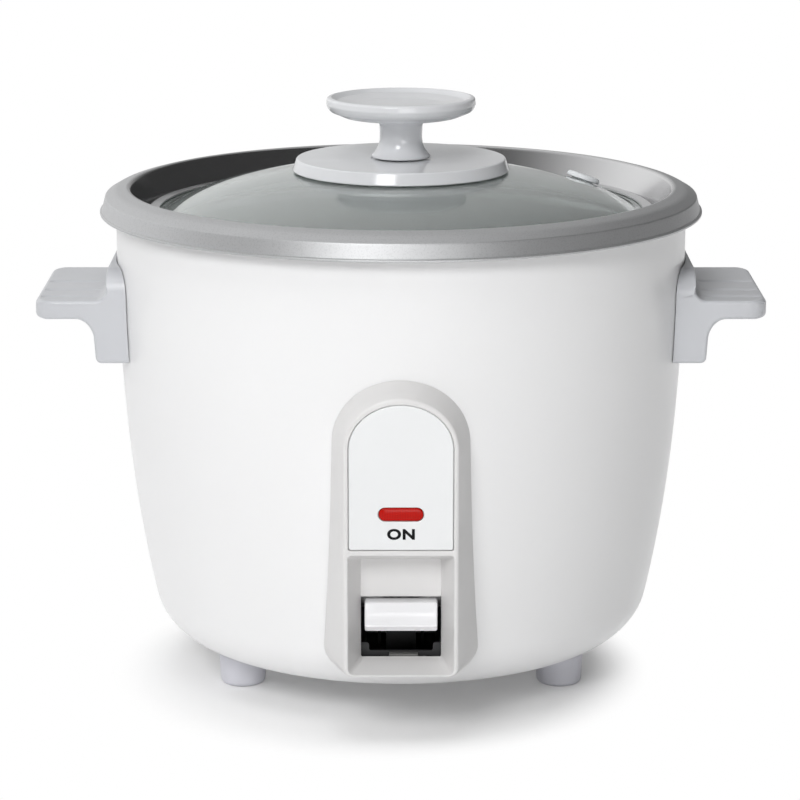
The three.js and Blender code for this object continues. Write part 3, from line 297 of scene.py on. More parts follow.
class NodeSheet:
    # one node tree: add() takes a node's type without its prefix, its settings and what goes into its sockets
    def __init__(self, tree):
        self.tree = tree
        tree.nodes.clear()

    def add(self, kind, settings=None, sockets=None, output=0):
        node = self.tree.nodes.new("ShaderNode" + kind)
        for name, value in (settings or {}).items():
            if name == "stops":
                self.setStops(node.color_ramp, value)
            else:
                setattr(node, name, value)
        for key, value in (sockets or {}).items():
            if isinstance(value, Signal):
                self.tree.links.new(value.socket, node.inputs[key])
            else:
                node.inputs[key].default_value = value
        return Signal(self, node.outputs[output]) if len(node.outputs) else node

    def setStops(self, ramp, stops):
        # the ramp's own two stops are moved first, and the rest are added
        for i, (place, level) in enumerate(stops):
            stop = ramp.elements[i] if i < 2 else ramp.elements.new(place)
            stop.position, stop.color = place, (level, level, level, 1)

    def place(self, stretch=(1, 1, 1), shift=(0, 0, 0)):
        where = self.add("TexCoord", output="Object")
        return self.add("Mapping", {}, {"Vector": where, "Scale": stretch, "Location": shift})

    def noise(self, scale, detail=2.0, vector=None, roughness=0.5):
        sockets = {"Vector": vector or self.place(), "Scale": scale, "Detail": detail, "Roughness": roughness}
        return self.add("TexNoise", {"noise_dimensions": "3D"}, sockets)

    def ramp(self, signal, *stops):
        return self.add("ValToRGB", {"stops": stops}, {"Fac": signal})

    def blend(self, share, first, second):
        return self.add("Mix", {"data_type": "RGBA"}, {0: share, 6: first, 7: second}, 2)

    def radius(self, stretch=(1, 1, 1), shift=(0, 0, 0)):
        # sqrt(x * x + y * y) in metres, after stretching and shifting
        across = self.add("SeparateXYZ", {}, {0: self.place(stretch, shift=shift)})
        node = across.socket.node
        x, y = Signal(self, node.outputs[0]), Signal(self, node.outputs[1])
        return (x * x + y * y) ** 0.5

    def bump(self, height, strength, depth):
        return self.add("Bump", {}, {"Height": height, "Strength": strength, "Distance": depth * mm})

    def smooth(self, signal, start, stop):
        # 0 at the start, 1 at the stop, eased at both ends
        span = {"Value": signal, "From Min": start, "From Max": stop}
        return self.add("MapRange", {"interpolation_type": "SMOOTHSTEP"}, span)

    def grained(self, grain, dark, pale, roughness, spread, relief=None):
        # tone from dark to pale, roughness + spread * grain, and a relief (strength, depth) of the same grain
        tone = self.blend(grain, (*dark, 1), (*pale, 1))
        parts = {"Base Color": tone, "Roughness": roughness + spread * grain}
        if relief:
            parts["Normal"] = self.bump(grain, *relief)
        return parts


def tinted(colour, share):
    # the colour times the share, kept within 1
    return (*[min(1, c * share) for c in colour], 1)


def materialOf(name, makeSurface):
    # makeSurface gets the node sheet and returns the surface
    material = bpy.data.materials.new(name)
    material.use_nodes = True
    sheet = NodeSheet(material.node_tree)
    sheet.add("OutputMaterial", {}, {"Surface": makeSurface(sheet)})
    return material


def finish(name, makeParts):
    # makeParts gets the node sheet and returns what goes into the surface shader's sockets
    return materialOf(name, lambda sheet: sheet.add("BsdfPrincipled", {}, makeParts(sheet)))


def whitePaint(sheet):
    # gloss enamel: a faint ripple left by the spray, and a very slight unevenness of tone
    ripple = sheet.noise(330, 1.5)
    cloud = sheet.noise(14, 2)
    return {
        "Base Color": sheet.blend(cloud.clamped(), (0.845, 0.845, 0.85, 1), (0.87, 0.87, 0.872, 1)),
        "Roughness": 0.31 + 0.05 * sheet.noise(60, 3),
        "Coat Weight": 0.25,
        "Coat Roughness": 0.06,
        "Normal": sheet.bump(ripple, 0.05, 0.05),
    }


def plasticParts(colour, roughness, grain=0.12, grainScale=1500, shine=0.5):
    # moulded plastic: a fine spark-eroded grain, a slight drift of tone, rubbed patches a little glossier
    def parts(sheet):
        drift = sheet.noise(30, 3)
        fine = sheet.noise(grainScale, 2)
        rubbed = sheet.ramp(sheet.noise(75, 4, roughness=0.6), (0.38, 0.0), (0.68, 1.0))
        return {
            "Base Color": sheet.blend(drift, tinted(colour, 0.965), tinted(colour, 1.02)),
            "Roughness": roughness + 0.03 * fine + 0.04 * rubbed,
            "Specular IOR Level": shine,
            "Normal": sheet.bump(fine, grain, 0.03),
        }

    return parts


def panCoating(sheet):
    # non-stick coating: dark and pale metallic flecks in a satin gray binder
    fleck = sheet.add("TexVoronoi", {"feature": "F1"}, {"Vector": sheet.place(), "Scale": 2200})
    bright = sheet.ramp(fleck, (0.14, 1.0), (0.34, 0.0))
    dark = sheet.ramp(sheet.noise(1900, 2), (0.36, 1.0), (0.48, 0.0))
    tone = sheet.blend(sheet.noise(45, 3), (0.48, 0.484, 0.492, 1), (0.52, 0.525, 0.532, 1))
    tone = sheet.blend(dark * 0.18, tone, (0.22, 0.223, 0.23, 1))
    tone = sheet.blend(bright * 0.18, tone, (0.66, 0.665, 0.67, 1))
    # inside the rim's crown the sheet is bare and polished
    inside = sheet.smooth(sheet.radius(), 0.1045, 0.1030)
    tone = sheet.blend(inside, tone, (0.50, 0.50, 0.505, 1))
    return {
        "Base Color": tone,
        "Metallic": 0.76 + 0.1 * bright + 0.2 * inside,
        "Roughness": (0.43 + 0.06 * sheet.noise(1700, 2)) - 0.27 * inside,
        "Normal": sheet.bump(sheet.noise(1900, 2), 0.03, 0.03),
    }


def clearGlass(sheet):
    # pressed glass: a very slight waviness, and a faint uneven film where it has been wiped
    film = sheet.ramp(sheet.noise(22, 4, roughness=0.65), (0.45, 0.0), (0.8, 1.0))
    return {
        # the green tint is the glass's own; the pale tone of the share that passes no light is painted light
        # standing in for the lit pan seen through it
        "Base Color": sheet.blend(film, (0.90, 0.955, 0.938, 1), (0.87, 0.935, 0.915, 1)),
        "Roughness": 0.012 + 0.02 * film,
        "Transmission Weight": 0.81,
        "IOR": 1.5,
        "Normal": sheet.bump(sheet.noise(38, 1), 0.03, 0.2),
    }


def brushedSteel(stretch, tone=0.66, roughness=0.30):
    # lines of grind drawn out along one direction
    def parts(sheet):
        grind = sheet.noise(900, 3, sheet.place(stretch))
        dark, pale = (tone * 0.86, tone * 0.86, tone * 0.87), (tone, tone, tone * 1.01)
        return {"Metallic": 1.0, **sheet.grained(grind, dark, pale, roughness, 0.16, (0.12, 0.03))}

    return parts


def castAluminium(sheet):
    # cast metal turned on a lathe: fine rings about the middle over a mottled skin
    rings = (sheet.radius() * (2 * math.pi / 0.0011)).wave() * 0.5 + 0.5
    mottle = sheet.noise(160, 4, roughness=0.6)
    return {
        "Base Color": sheet.blend(mottle, (0.47, 0.475, 0.48, 1), (0.62, 0.625, 0.63, 1)),
        "Metallic": 0.95,
        "Roughness": 0.34 + 0.16 * mottle,
        "Normal": sheet.bump(rings * 0.6 + mottle * 0.4, 0.35, 0.06),
    }


def redLens(sheet):
    # clear red plastic with a fine ribbed back that shows as upright stripes
    across = sheet.add("SeparateXYZ", {}, {0: sheet.add("TexCoord", output="Object")})
    ribs = (across * (2 * math.pi / 0.0009)).wave() * 0.5 + 0.5
    cloud = sheet.noise(240, 3)
    depth = ribs * 0.35 + cloud * 0.3
    return {
        "Base Color": sheet.blend(depth, (0.42, 0.005, 0.003, 1), (0.56, 0.012, 0.005, 1)),
        "Roughness": 0.14 + 0.06 * cloud,
        "Coat Weight": 0.04,
        "Specular IOR Level": 0.12,
        "Coat Roughness": 0.04,
        "Normal": sheet.bump(ribs, 0.06, 0.03),
    }


def neonGlass(sheet):
    # thin glass over a pale orange electrode glow
    streak = sheet.noise(420, 2, sheet.place((0.2, 1, 1)))
    return {"Coat Weight": 0.8, **sheet.grained(streak, (0.80, 0.62, 0.52), (0.88, 0.74, 0.66), 0.08, 0.08)}


def turnedBrass(sheet):
    # grind drawn out along the pin
    grind = sheet.noise(1000, 3, sheet.place((1, 0.05, 1)))
    return {"Metallic": 1.0, **sheet.grained(grind, (0.60, 0.45, 0.20), (0.78, 0.61, 0.31), 0.30, 0.1)}


def glassSleeve(sheet):
    # woven glass-fibre sleeve: two crossed sets of thin ribs, glazed with resin
    warp = sheet.noise(1400, 2, sheet.place((1, 0.2, 1)))
    weft = sheet.noise(1400, 2, sheet.place((0.2, 1, 1)))
    weave = warp * 0.5 + weft * 0.5
    return sheet.grained(weave, (0.60, 0.58, 0.52), (0.80, 0.79, 0.74), 0.52, 0.2, (0.5, 0.12))


def darkFerrite(sheet):
    # pressed and fired powder
    grain = sheet.noise(1700, 3)
    dark, pale = (0.022, 0.022, 0.024), (0.055, 0.054, 0.056)
    return {"Metallic": 0.25, **sheet.grained(grain, dark, pale, 0.5, 0.2, (0.3, 0.05))}


def blackPlate(sheet):
    # carbon-dark heater sheath
    burn = sheet.noise(130, 4, roughness=0.62)
    dark, pale = (0.10, 0.098, 0.094), (0.25, 0.24, 0.225)
    return {"Metallic": 0.8, **sheet.grained(burn, dark, pale, 0.4, 0.22, (0.2, 0.08))}


white = finish("whitePaint", whitePaint)
coating = finish("panCoating", panCoating)
glass = finish("clearGlass", clearGlass)
steel = finish("brushedSteel", brushedSteel((1, 1, 0.06)))
spunSteel = finish("spunSteel", brushedSteel((0.12, 0.12, 1), 0.72, 0.29))
# steel made near black as painted shade, for the lever and bracket seen deep in the opening
shadeDarkSteel = finish("shadeDarkenedSteel", brushedSteel((1, 1, 0.06), 0.12, 0.42))
aluminium = finish("castAluminium", castAluminium)
sheath = finish("heaterSheath", blackPlate)
palePlastic = finish("palePlastic", plasticParts((0.56, 0.57, 0.595), 0.29))
knobPlastic = finish("knobPlastic", plasticParts((0.745, 0.755, 0.775), 0.10, 0.03))
housingPlastic = finish("housingPlastic", plasticParts((0.74, 0.732, 0.728), 0.33))
facePlastic = finish("facePlastic", plasticParts((0.83, 0.84, 0.845), 0.30, 0.05))
tabPlastic = finish("tabPlastic", plasticParts((0.86, 0.86, 0.875), 0.15, 0.03))
footPlastic = finish("footPlastic", plasticParts((0.62, 0.62, 0.67), 0.45, 0.2))
blackPlastic = finish("blackPlastic", plasticParts((0.022, 0.022, 0.024), 0.42, 0.25))
# the catch's plastic is made dark as painted shade of the mouth
catchShadePlastic = finish("catchShadePlastic", plasticParts((0.15, 0.15, 0.145), 0.45, 0.2))
ink = finish("labelInk", plasticParts((0.008, 0.008, 0.009), 0.5, 0.05, shine=0.1))
ventRubber = finish("ventRubber", plasticParts((0.82, 0.84, 0.86), 0.4, 0.2))
lens = finish("redLens", redLens)
neon = finish("neonGlass", neonGlass)
brass = finish("turnedBrass", turnedBrass)
sleeve = finish("glassSleeve", glassSleeve)
ferrite = finish("darkFerrite", darkFerrite)
print("finishes made")


body = {
    "topR": 108.6,
    "topZ": 178.0,
    "taper": 11.4,
    "taperHeight": 141.0,
    "taperPower": 2.5,
    "cornerStartZ": 30.0,
    "sheet": 1.2,
    "lip": 4.4,  # how far the top edge is turned in
    "bottomInnerR": 58.0,
    "edge": 1.1,
    "seat": 0.3,  # room between the wall and what is fixed to it
    "leverHole": (15.6, 16.4, 2.0, 0.5),  # half width, below and above the tab, corner
    "inletHole": (13.4, 0.6, 1.0),  # half width, in from the housing's foot and top, corner
    "holeReach": (80.0, 130.0),  # from the middle plane
    "sides": 256,
}


def wallRadius(z):
    # top radius less taper * ((top - z) / height) ** power
    drop = np.maximum(0, (body["topZ"] - np.asarray(z, float)) / body["taperHeight"])
    return body["topR"] - body["taper"] * drop ** body["taperPower"]


def wallY(x, z):
    # distance of the wall from the middle plane: sqrt((wall radius + seat) ** 2 - x ** 2)
    return np.sqrt((wallRadius(z) + body["seat"]) ** 2 - x**2)


def bodyOutline(offset, bottomZ):
    # the wall from the top down, then an arc that is tangent to the leaning wall and to the flat bottom
    startZ = body["cornerStartZ"]
    lean = math.atan(float(wallRadius(startZ + 0.5) - wallRadius(startZ - 0.5)))
    radius = (startZ - bottomZ) / (1 - math.sin(lean))
    centreR = float(wallRadius(startZ)) - radius * math.cos(lean)
    z = np.linspace(body["topZ"], startZ, 30)
    wall = np.stack([wallRadius(z) + offset, z], -1)
    angle = np.linspace(-lean, -np.pi / 2, 19)[1:, None]
    centre = np.array([[centreR, bottomZ + radius]])
    return np.vstack([wall, centre + (radius + offset) * np.hstack([np.cos(angle), np.sin(angle)])])


def bothSides(x, z):
    # the line, and back along its mirror image about x = 0
    return np.vstack([np.stack([x, z], -1), np.stack([-x, z], -1)[-2:0:-1]])


def frameLine(halfX, low, high, lowCorner, highCorner, steps=6, rise=8):
    # a rectangle about x = 0 with quarter circles for corners, always with the same count of points
    q = np.linspace(0, np.pi / 2, steps + 1)
    lowArc = [halfX - lowCorner + lowCorner * np.sin(q), low + lowCorner - lowCorner * np.cos(q)]
    highArc = [halfX - highCorner + highCorner * np.cos(q), high - highCorner + highCorner * np.sin(q)]
    side = np.linspace(low + lowCorner, high - highCorner, rise)[1:-1]
    floor = np.linspace(0, halfX - lowCorner, 5)[:-1]
    roof = np.linspace(halfX - highCorner, 0, 5)[1:]
    x = np.r_[floor, lowArc[0], side * 0 + halfX, highArc[0], roof]
    return bothSides(x, np.r_[floor * 0 + low, lowArc[1], side, highArc[1], roof * 0 + high])


def ringAt(line, y):
    # a line in x and z stood at y
    return np.stack([line[:, 0], line[:, 0] * 0 + y, line[:, 1]], -1)


def blockAlongY(line, fromY, toY):
    # a closed line in x and z carried along y
    return [closed(np.array([ringAt(line, fromY), ringAt(line, toY)]))]


def makeBody():
    # the rolled edge, the wall and the bottom flange turned about the axis, and again a sheet further in
    low, high = boxOf("outer_body")
    sheet, top, mouthR = body["sheet"], high[2], body["topR"] - body["lip"]
    outside, inside = bodyOutline(0, low[2]), bodyOutline(-sheet, low[2])
    outside = outside[outside[:, 1] < top - 4]
    inside = inside[inside[:, 1] < top - sheet - 0.2][::-1]
    edge = filleted([
        (mouthR + 1.2, top - sheet), (mouthR, top - sheet, 0.25), (mouthR, top, 0.4),
        (body["topR"], top, body["edge"]), (wallRadius(top - 3), top - 3),
    ])
    under = [[body["bottomInnerR"], low[2]], [body["bottomInnerR"], low[2] + sheet]]
    profile = np.vstack([edge, outside, under, inside, [[body["topR"] - 2.2, top - sheet]]])
    low, high = boxOf("lever_tab")
    halfX, below, above, corner = body["leverHole"]
    leverHole = frameLine(halfX, low[2] - below, high[2] + above, corner, corner)
    low, high = boxOf("inlet_housing")
    halfX, margin, corner = body["inletHole"]
    inletHole = frameLine(halfX, low[2] + margin, high[2] - margin, corner, corner)
    near, far = body["holeReach"]
    cuts = [blockAlongY(leverHole, -far, -near), blockAlongY(inletHole, near, far)]
    surfaces = [roundLoop(profile, body["sides"])]
    buildPiece("bodyShell", surfaces, "cooker", "white_paint", white, ["outer_body"], cuts=cuts)


liner = {
    "sheet": 0.9,
    "bore": 12.5,
    "floorCorner": (13.6, 6.0),  # inwards from the rim, rounding
    "mouth": ((9.6, 18.3, 12), (4.6, 11.3, 4), (4.6, 0, 0.5), (0, 0)),  # inwards, down, rounding
    "ringWidth": 6.2,
    "ringEdges": (0.5, 0.7),  # rounding of the ring's lower and upper edges
    "sides": 160,
}


def makeLiner():
    # the case inside the body: a deep drawn cup whose mouth steps out and turns over the body's lip
    low, high = boxOf("inner_case")
    inwards, corner = liner["floorCorner"]
    cup = [(liner["bore"], low[2]), (high[0] - inwards, low[2], corner)]
    cup = thickened(filleted(cup + fromCorner(liner["mouth"], high[0], high[2])), liner["sheet"])
    surfaces = [roundLoop(cup, liner["sides"])]
    buildPiece("liner", surfaces, "cooker", "bright_steel", spunSteel, ["inner_case"])
    # the ring that closes the double wall
    low, high = boxOf("top_ring")
    outer, foot, top = high[0], low[2], high[2]
    inner, (under, over) = outer - liner["ringWidth"], liner["ringEdges"]
    ring = filleted([
        (inner + 3, foot), (outer, foot, under), (outer, top, over), (inner, top, over), (inner, foot, under),
        (inner + 2, foot),
    ])
    surfaces = [roundLoop(ring, liner["sides"])]
    buildPiece("topRing", surfaces, "cooker", "pale_gray_plastic", palePlastic, ["top_ring"])


heater = {
    "bore": 17.0,
    "boreEdge": 1.5,
    "rim": 5.0,  # width of the plain edge outside the rings
    "bevel": (3.6, 4.2, 1.5),  # inwards, down, rounding
    "ringPitch": 3.2,
    "ringDepth": 0.18,
    "capBevel": (1.4, 1.2, 1.0),
    "capSheet": 1.2,
    "sides": 160,
}


def makeHeater():
    # a cast plate whose top is turned in shallow rings: z falls by depth * (1 - cos) / 2 along r
    low, high = boxOf("heating_plate")
    outR, foot, top, bore, flat = high[0], low[2], high[2], heater["bore"], heater["boreEdge"]
    r = np.linspace(bore + flat, outR - heater["rim"], 240)
    ringed = top - heater["ringDepth"] * (1 - np.cos((r - bore) * 2 * np.pi / heater["ringPitch"])) / 2
    rim, (inwards, down, bend) = heater["rim"], heater["bevel"]
    edge = [(outR - rim, top), (outR - inwards, top, bend), (outR, top - down, bend), (outR, foot, 1)]
    under = [(outR, foot + 1.2), (outR, foot, 1), (bore, foot, 1), (bore, top, 1), (bore + flat, top)]
    profile = np.vstack([np.stack([r, ringed], -1), filleted(edge)[1:-1], filleted(under)[1:]])
    surfaces = [roundLoop(tidyLine(profile)[:-1], heater["sides"])]
    buildPiece("heaterPlate", surfaces, "cooker", "cast_aluminium", aluminium, ["heating_plate"])
    # the sensor's cap: a bent line given a thickness
    low, high = boxOf("sensor_cap")
    outR, top = high[0], high[2]
    inwards, down, bend = heater["capBevel"]
    line = filleted([(outR, low[2]), (outR, top - down, bend), (outR - inwards, top, bend), (0, top)], 4)
    surfaces = [roundLoop(thickened(line, heater["capSheet"]), 96)]
    buildPiece("sensorCap", surfaces, "thermostat_sensor", "cast_aluminium", aluminium, ["sensor_cap"])


makeBody()
makeLiner()
makeHeater()
print("body, liner and heater made")


pan = {
    "sheet": 2.0,
    "cornerR": 22.0,
    "wallFoot": (25.2, 23.2),  # how far in the wall would meet the floor, above and below the sheet
    # the section from the skirt's foot over the rim to the ledge: inwards, down, rounding
    "rim": (
        (0.9, 10.0), (0, 10.0, 0.3), (0, 9.1, 0.4), (0.75, 8.8, 0.4), (2.1, 3.6, 0.9), (6.0, 1.35, 9.0),
        (11.4, -0.10, 1.7), (16.1, 14.4, 2.0), (20.9, 14.4, 1.2), (22.0, 17.0, 6.0),
    ),
    # and back below it; the third point stays clear of the top ring's inner edge
    "under": (
        (19.9, 16.4, 0.6), (14.6, 16.4, 2.0), (12.65, 6.6, 3.0), (10.3, 2.3, 1.0), (4.0, 4.2, 2.0),
        (2.6, 6.9, 1.5), (1.7, 10.0, 0.3), (1.2, 10.0),
    ),
    "sides": 256,
}


def makePan():
    # the section runs up the skirt, over the rim, down to the lid's ledge and the floor, and back below
    low, high = boxOf("inner_pan")
    outR, top, foot, bend = high[0], high[2], low[2], pan["cornerR"]
    floor, (inside, outside) = foot + pan["sheet"], pan["wallFoot"]
    upper = filleted([*fromCorner(pan["rim"], outR, top), (outR - inside, floor, bend), (0, floor)], 8)
    wall = [(0, foot), (outR - outside, foot, bend + pan["sheet"])]
    under = filleted(wall + fromCorner(pan["under"], outR, top), 6)
    surfaces = [roundLoop(np.vstack([upper, under]), pan["sides"])]
    buildPiece("pan", surfaces, "pan", "pan_coating", coating, ["inner_pan"])


makePan()
print("pan made")


lid = {
    "domeTop": 195.0,
    "spreadR": 97.0,
    "rise": 27.8,
    "thickness": 3.0,
    "edgeR": 96.0,
    "bend": (90.2, 4.5),  # where the dome turns down into the flat rim, rounding
    "domeR": 86.5,
    "bandLip": 4.7,
    "bandRound": 1.3,
    "bandSheet": 0.7,
    "sides": 224,
}
vent = {
    "place": (71.0, 30.0),
    "hole": 4.4,
    # its section as radius, height above the dome, rounding
    "outline": (
        (1.5, -5.4), (4.9, -5.4, 0.5), (5.4, -3.95, 0.5), (4.25, -3.7, 0.3), (4.25, 0.3, 0.2),
        (6.6, 0.35, 0.35), (6.5, 2.3, 1.1), (3.2, 2.6, 1.2), (2.6, 1.5, 0.6), (1.5, 1.4, 0.3), (1.5, -5.3),
    ),
    "sides": 64,
}


def domeZ(r):
    # top - rise * (1 - sqrt(1 - (r / spread) ** 2))
    return lid["domeTop"] - lid["rise"] * (1 - np.sqrt(1 - (np.asarray(r, float) / lid["spreadR"]) ** 2))


def ventPlace():
    # where the vent's axis meets the dome, two directions across it, and the dome's normal
    x, y = vent["place"]
    r = math.hypot(x, y)
    slope = lid["rise"] * r / lid["spreadR"] ** 2 / math.sqrt(1 - (r / lid["spreadR"]) ** 2)
    up = unit(np.array([x / r * slope, y / r * slope, 1.0]))
    side = unit(np.cross([0, 0, 1.0], up))
    return np.array([x, y, float(domeZ(r))]), side, np.cross(up, side), up


def atVent(grid):
    # carries a grid from the z axis to the vent's axis
    origin, side, ahead, up = ventPlace()
    return origin + grid[..., :1] * side + grid[..., 1:2] * ahead + grid[..., 2:] * up


def makeLid():
    # the dome's line, bent down into a flat rim and given a thickness, less the vent's hole
    low, high = boxOf("lid_band")
    rimZ, edgeR, domeR, (bendR, bend) = high[2] - 1.0, lid["edgeR"], lid["domeR"], lid["bend"]
    foot = filleted([(edgeR, rimZ - 0.8), (edgeR, rimZ, 0.7), (bendR, rimZ, bend), (domeR, domeZ(domeR))], 6)
    r = np.linspace(domeR - 0.5, 0, 60)
    line = tidyLine(np.vstack([foot, np.stack([r, domeZ(r)], -1)]))
    surfaces = [roundLoop(thickened(line, lid["thickness"]), lid["sides"])]
    bore, reach = vent["hole"], 9
    hole = turned([[0, -reach], [bore, -reach], [bore, reach], [0, reach]], 32)
    cuts = [[(atVent(hole), True, False, "")]]
    buildPiece("lidGlass", surfaces, "lid", "clear_glass", glass, ["lid_glass"], cuts=cuts)
    # the band is a channel round the rim
    inner, bend = high[0] - lid["bandLip"], lid["bandRound"]
    channel = [(inner, low[2]), (high[0], low[2], bend), (high[0], high[2], bend), (inner, high[2])]
    surfaces = [roundLoop(thickened(filleted(channel), lid["bandSheet"]), lid["sides"])]
    buildPiece("lidBand", surfaces, "lid", "bright_steel", spunSteel, ["lid_band"])


def makeVent():
    # a rubber grommet through the glass: its upper lip lies on the dome, its neck fills the hole
    grid = atVent(turned(filleted(vent["outline"], 4)[:-1], vent["sides"]))
    buildPiece("steamVent", [(grid, True, True, "")], "lid", "vent_rubber", ventRubber, ["steam_vent"])


makeLid()
makeVent()
print("lid made")


knob = {
    "overDome": 0.3,  # gap between the flange and the glass
    "underDome": 3.3,  # the washer's top below the outside of the glass
    "stemR": 8.1,
    "flare": (3.0, 7.0),  # how far the stem spreads at its foot, and over what height
    # the flange's middle as radius, down, rounding
    "seat": ((12.2, 0.1), (11.5, 0.1, 0.15), (11.3, 0.5, 0.15), (0, 0.5)),
    # the grip's section from under its edge to the dish: inwards, down, rounding
    "grip": (
        (7.0, 7.6, 9), (0.9, 5.0, 3.2), (0, 2.6, 1.5), (0.3, 0.3, 1.0), (1.9, 0, 0.7), (4.6, 1.5, 4.0),
        (12.0, 2.7, 16.0),
    ),
    "dish": 3.0,
    "sides": 160,
}


def makeKnob():
    # the flange lies along the dome and carries the grip in a shallow seat
    low, high = boxOf("knob_flange")
    outR, top = high[0], high[2]
    r = np.linspace(0, outR - 2, 24)
    under = np.stack([r, np.maximum(domeZ(r) + knob["overDome"], low[2])], -1)
    seat = [(radius, top - down, *rest) for radius, down, *rest in knob["seat"]]
    rim = filleted([(outR - 1.9, low[2]), (outR, low[2], 0.45), (outR - 1.7, top, 0.8), seat[0]], 5)
    profile = tidyLine(np.vstack([under, rim[1:-1], filleted(seat)]))
    surfaces = [roundLoop(profile, knob["sides"])]
    buildPiece("knobFlange", surfaces, "lid", "knob_plastic", knobPlastic, ["knob_flange"])
    # the grip's stem spreads at its foot by flare * (1 - share) ** 2.2
    low, high = boxOf("knob_grip")
    gripR, stemR, top, foot = high[0], knob["stemR"], high[2], low[2]
    spread, tall = knob["flare"]
    share = np.linspace(0, 1, 12)[:, None]
    flare = np.hstack([stemR + spread * (1 - share) ** 2.2, foot + 0.8 + tall * share])
    neck = [(stemR, foot + 8.5), (stemR + 0.2, top - 8.2, 3.2)]
    upper = filleted([*neck, *fromCorner(knob["grip"], gripR, top), (0, top - knob["dish"])], 8)
    lower = filleted([(0, foot), (stemR + spread, foot, 0.35), (stemR + spread, foot + 0.8)])
    surfaces = [roundLoop(tidyLine(np.vstack([lower, flare[1:], upper])), knob["sides"])]
    buildPiece("knobGrip", surfaces, "lid", "knob_plastic", knobPlastic, ["knob_grip"])
    # the washer's crown follows the inside of the dome
    low, high = boxOf("knob_washer")
    outR, top = high[0], high[2]
    r = np.linspace(outR - 1.0, 0, 16)
    crown = np.stack([r, np.minimum(domeZ(r) - knob["underDome"], top)], -1)
    rim = filleted([(0, low[2]), (outR, low[2], 0.8), (outR, top, 0.5), (outR - 1.0, top)])
    surfaces = [roundLoop(tidyLine(np.vstack([rim[:-1], crown])), 96)]
    buildPiece("knobWasher", surfaces, "lid", "knob_plastic", knobPlastic, ["knob_washer"])


makeKnob()
print("knob made")


handle = {
    "height": 24.0,  # from the leg's foot to the grip's top
    "backX": (104.0, 107.0),  # where the outline starts and ends inside the wall
    "legX": 114.6,
    "legLean": 0.6,
    "hollowR": 8.0,
    "wallX": 110.3,
    "thickness": 7.1,
    "edge": 1.8,
    "flare": 3.4,
    "spacing": 2.2,
    "endRound": 1.3,
    "planR": 7.0,
    "planX": 116.0,  # the plan's corners are drawn in beyond this
    "cornerR": 9.0,  # rounding of the wall plate's upper corners
    "grooveDepth": 0.8,
    "grooveHalf": 1.5,
    "grooves": (5.0, -12.0, -25.0),
    "wall": 3.4,
    "pocket": (29.5, 114.2),  # half width, and where it starts
    "pocketCorners": (2.5, 7.5),
}


def rolledEnds(half, roll, ends, inner):
    # places from -half to half, and how far an outline is drawn in there: roll * (1 - cos t)
    t = quarterTurn(ends)[1:]
    end, drawn = half - roll + roll * np.sin(t), roll * (1 - np.cos(t))
    middle = np.linspace(-half + roll, half - roll, inner)
    return np.r_[-end[::-1], middle, end], np.r_[drawn[::-1], middle * 0, drawn]


def outwardOf(line):
    # the line's direction turned a quarter to the right
    step = unit(np.gradient(line, axis=0))
    return np.stack([step[:, 1], -step[:, 0]], -1)


def cornerReach(y, half, radius):
    # a quarter circle near the end: sqrt(radius ** 2 - (|y| - half + radius) ** 2)
    return np.sqrt(np.maximum(radius**2 - np.maximum(np.abs(y) - half + radius, 0) ** 2, 0))


def handleLine(low, high):
    # the side outline round leg, grip and wall plate, with points no further apart than the spacing
    foot, top, out, edge = low[2], low[2] + handle["height"], high[0], handle["edge"]
    under, (startX, endX), wallX = top - handle["thickness"], handle["backX"], handle["wallX"]
    bend, turn = handle["hollowR"], np.linspace(np.pi, np.pi / 2, 12)
    middleX = handle["legX"] + handle["legLean"] + bend
    hollow = np.stack([middleX + bend * np.cos(turn), under - bend + bend * np.sin(turn)], -1)
    leg = filleted([(startX, foot), (handle["legX"], foot, 2.2), tuple(hollow[0])], 6)
    grip = [
        tuple(hollow[-1]), (out, under, edge), (out, top, edge), (wallX, top, handle["flare"] + 0.8),
        (wallX, high[2], 0.7), (endX, high[2]),
    ]
    line = tidyLine(np.vstack([leg, hollow[1:-1], filleted(grip, 7)]))
    gaps = np.linalg.norm(np.diff(line, axis=0), axis=-1)
    count = np.maximum(1, np.ceil(gaps / handle["spacing"]).astype(int))
    start = np.repeat(np.arange(len(gaps)), count)
    share = (np.arange(count.sum()) - np.repeat(np.cumsum(count) - count, count)) / np.repeat(count, count)
    filled = line[start] + (line[start + 1] - line[start]) * share[:, None]
    return np.vstack([filled, line[-1:]]), top


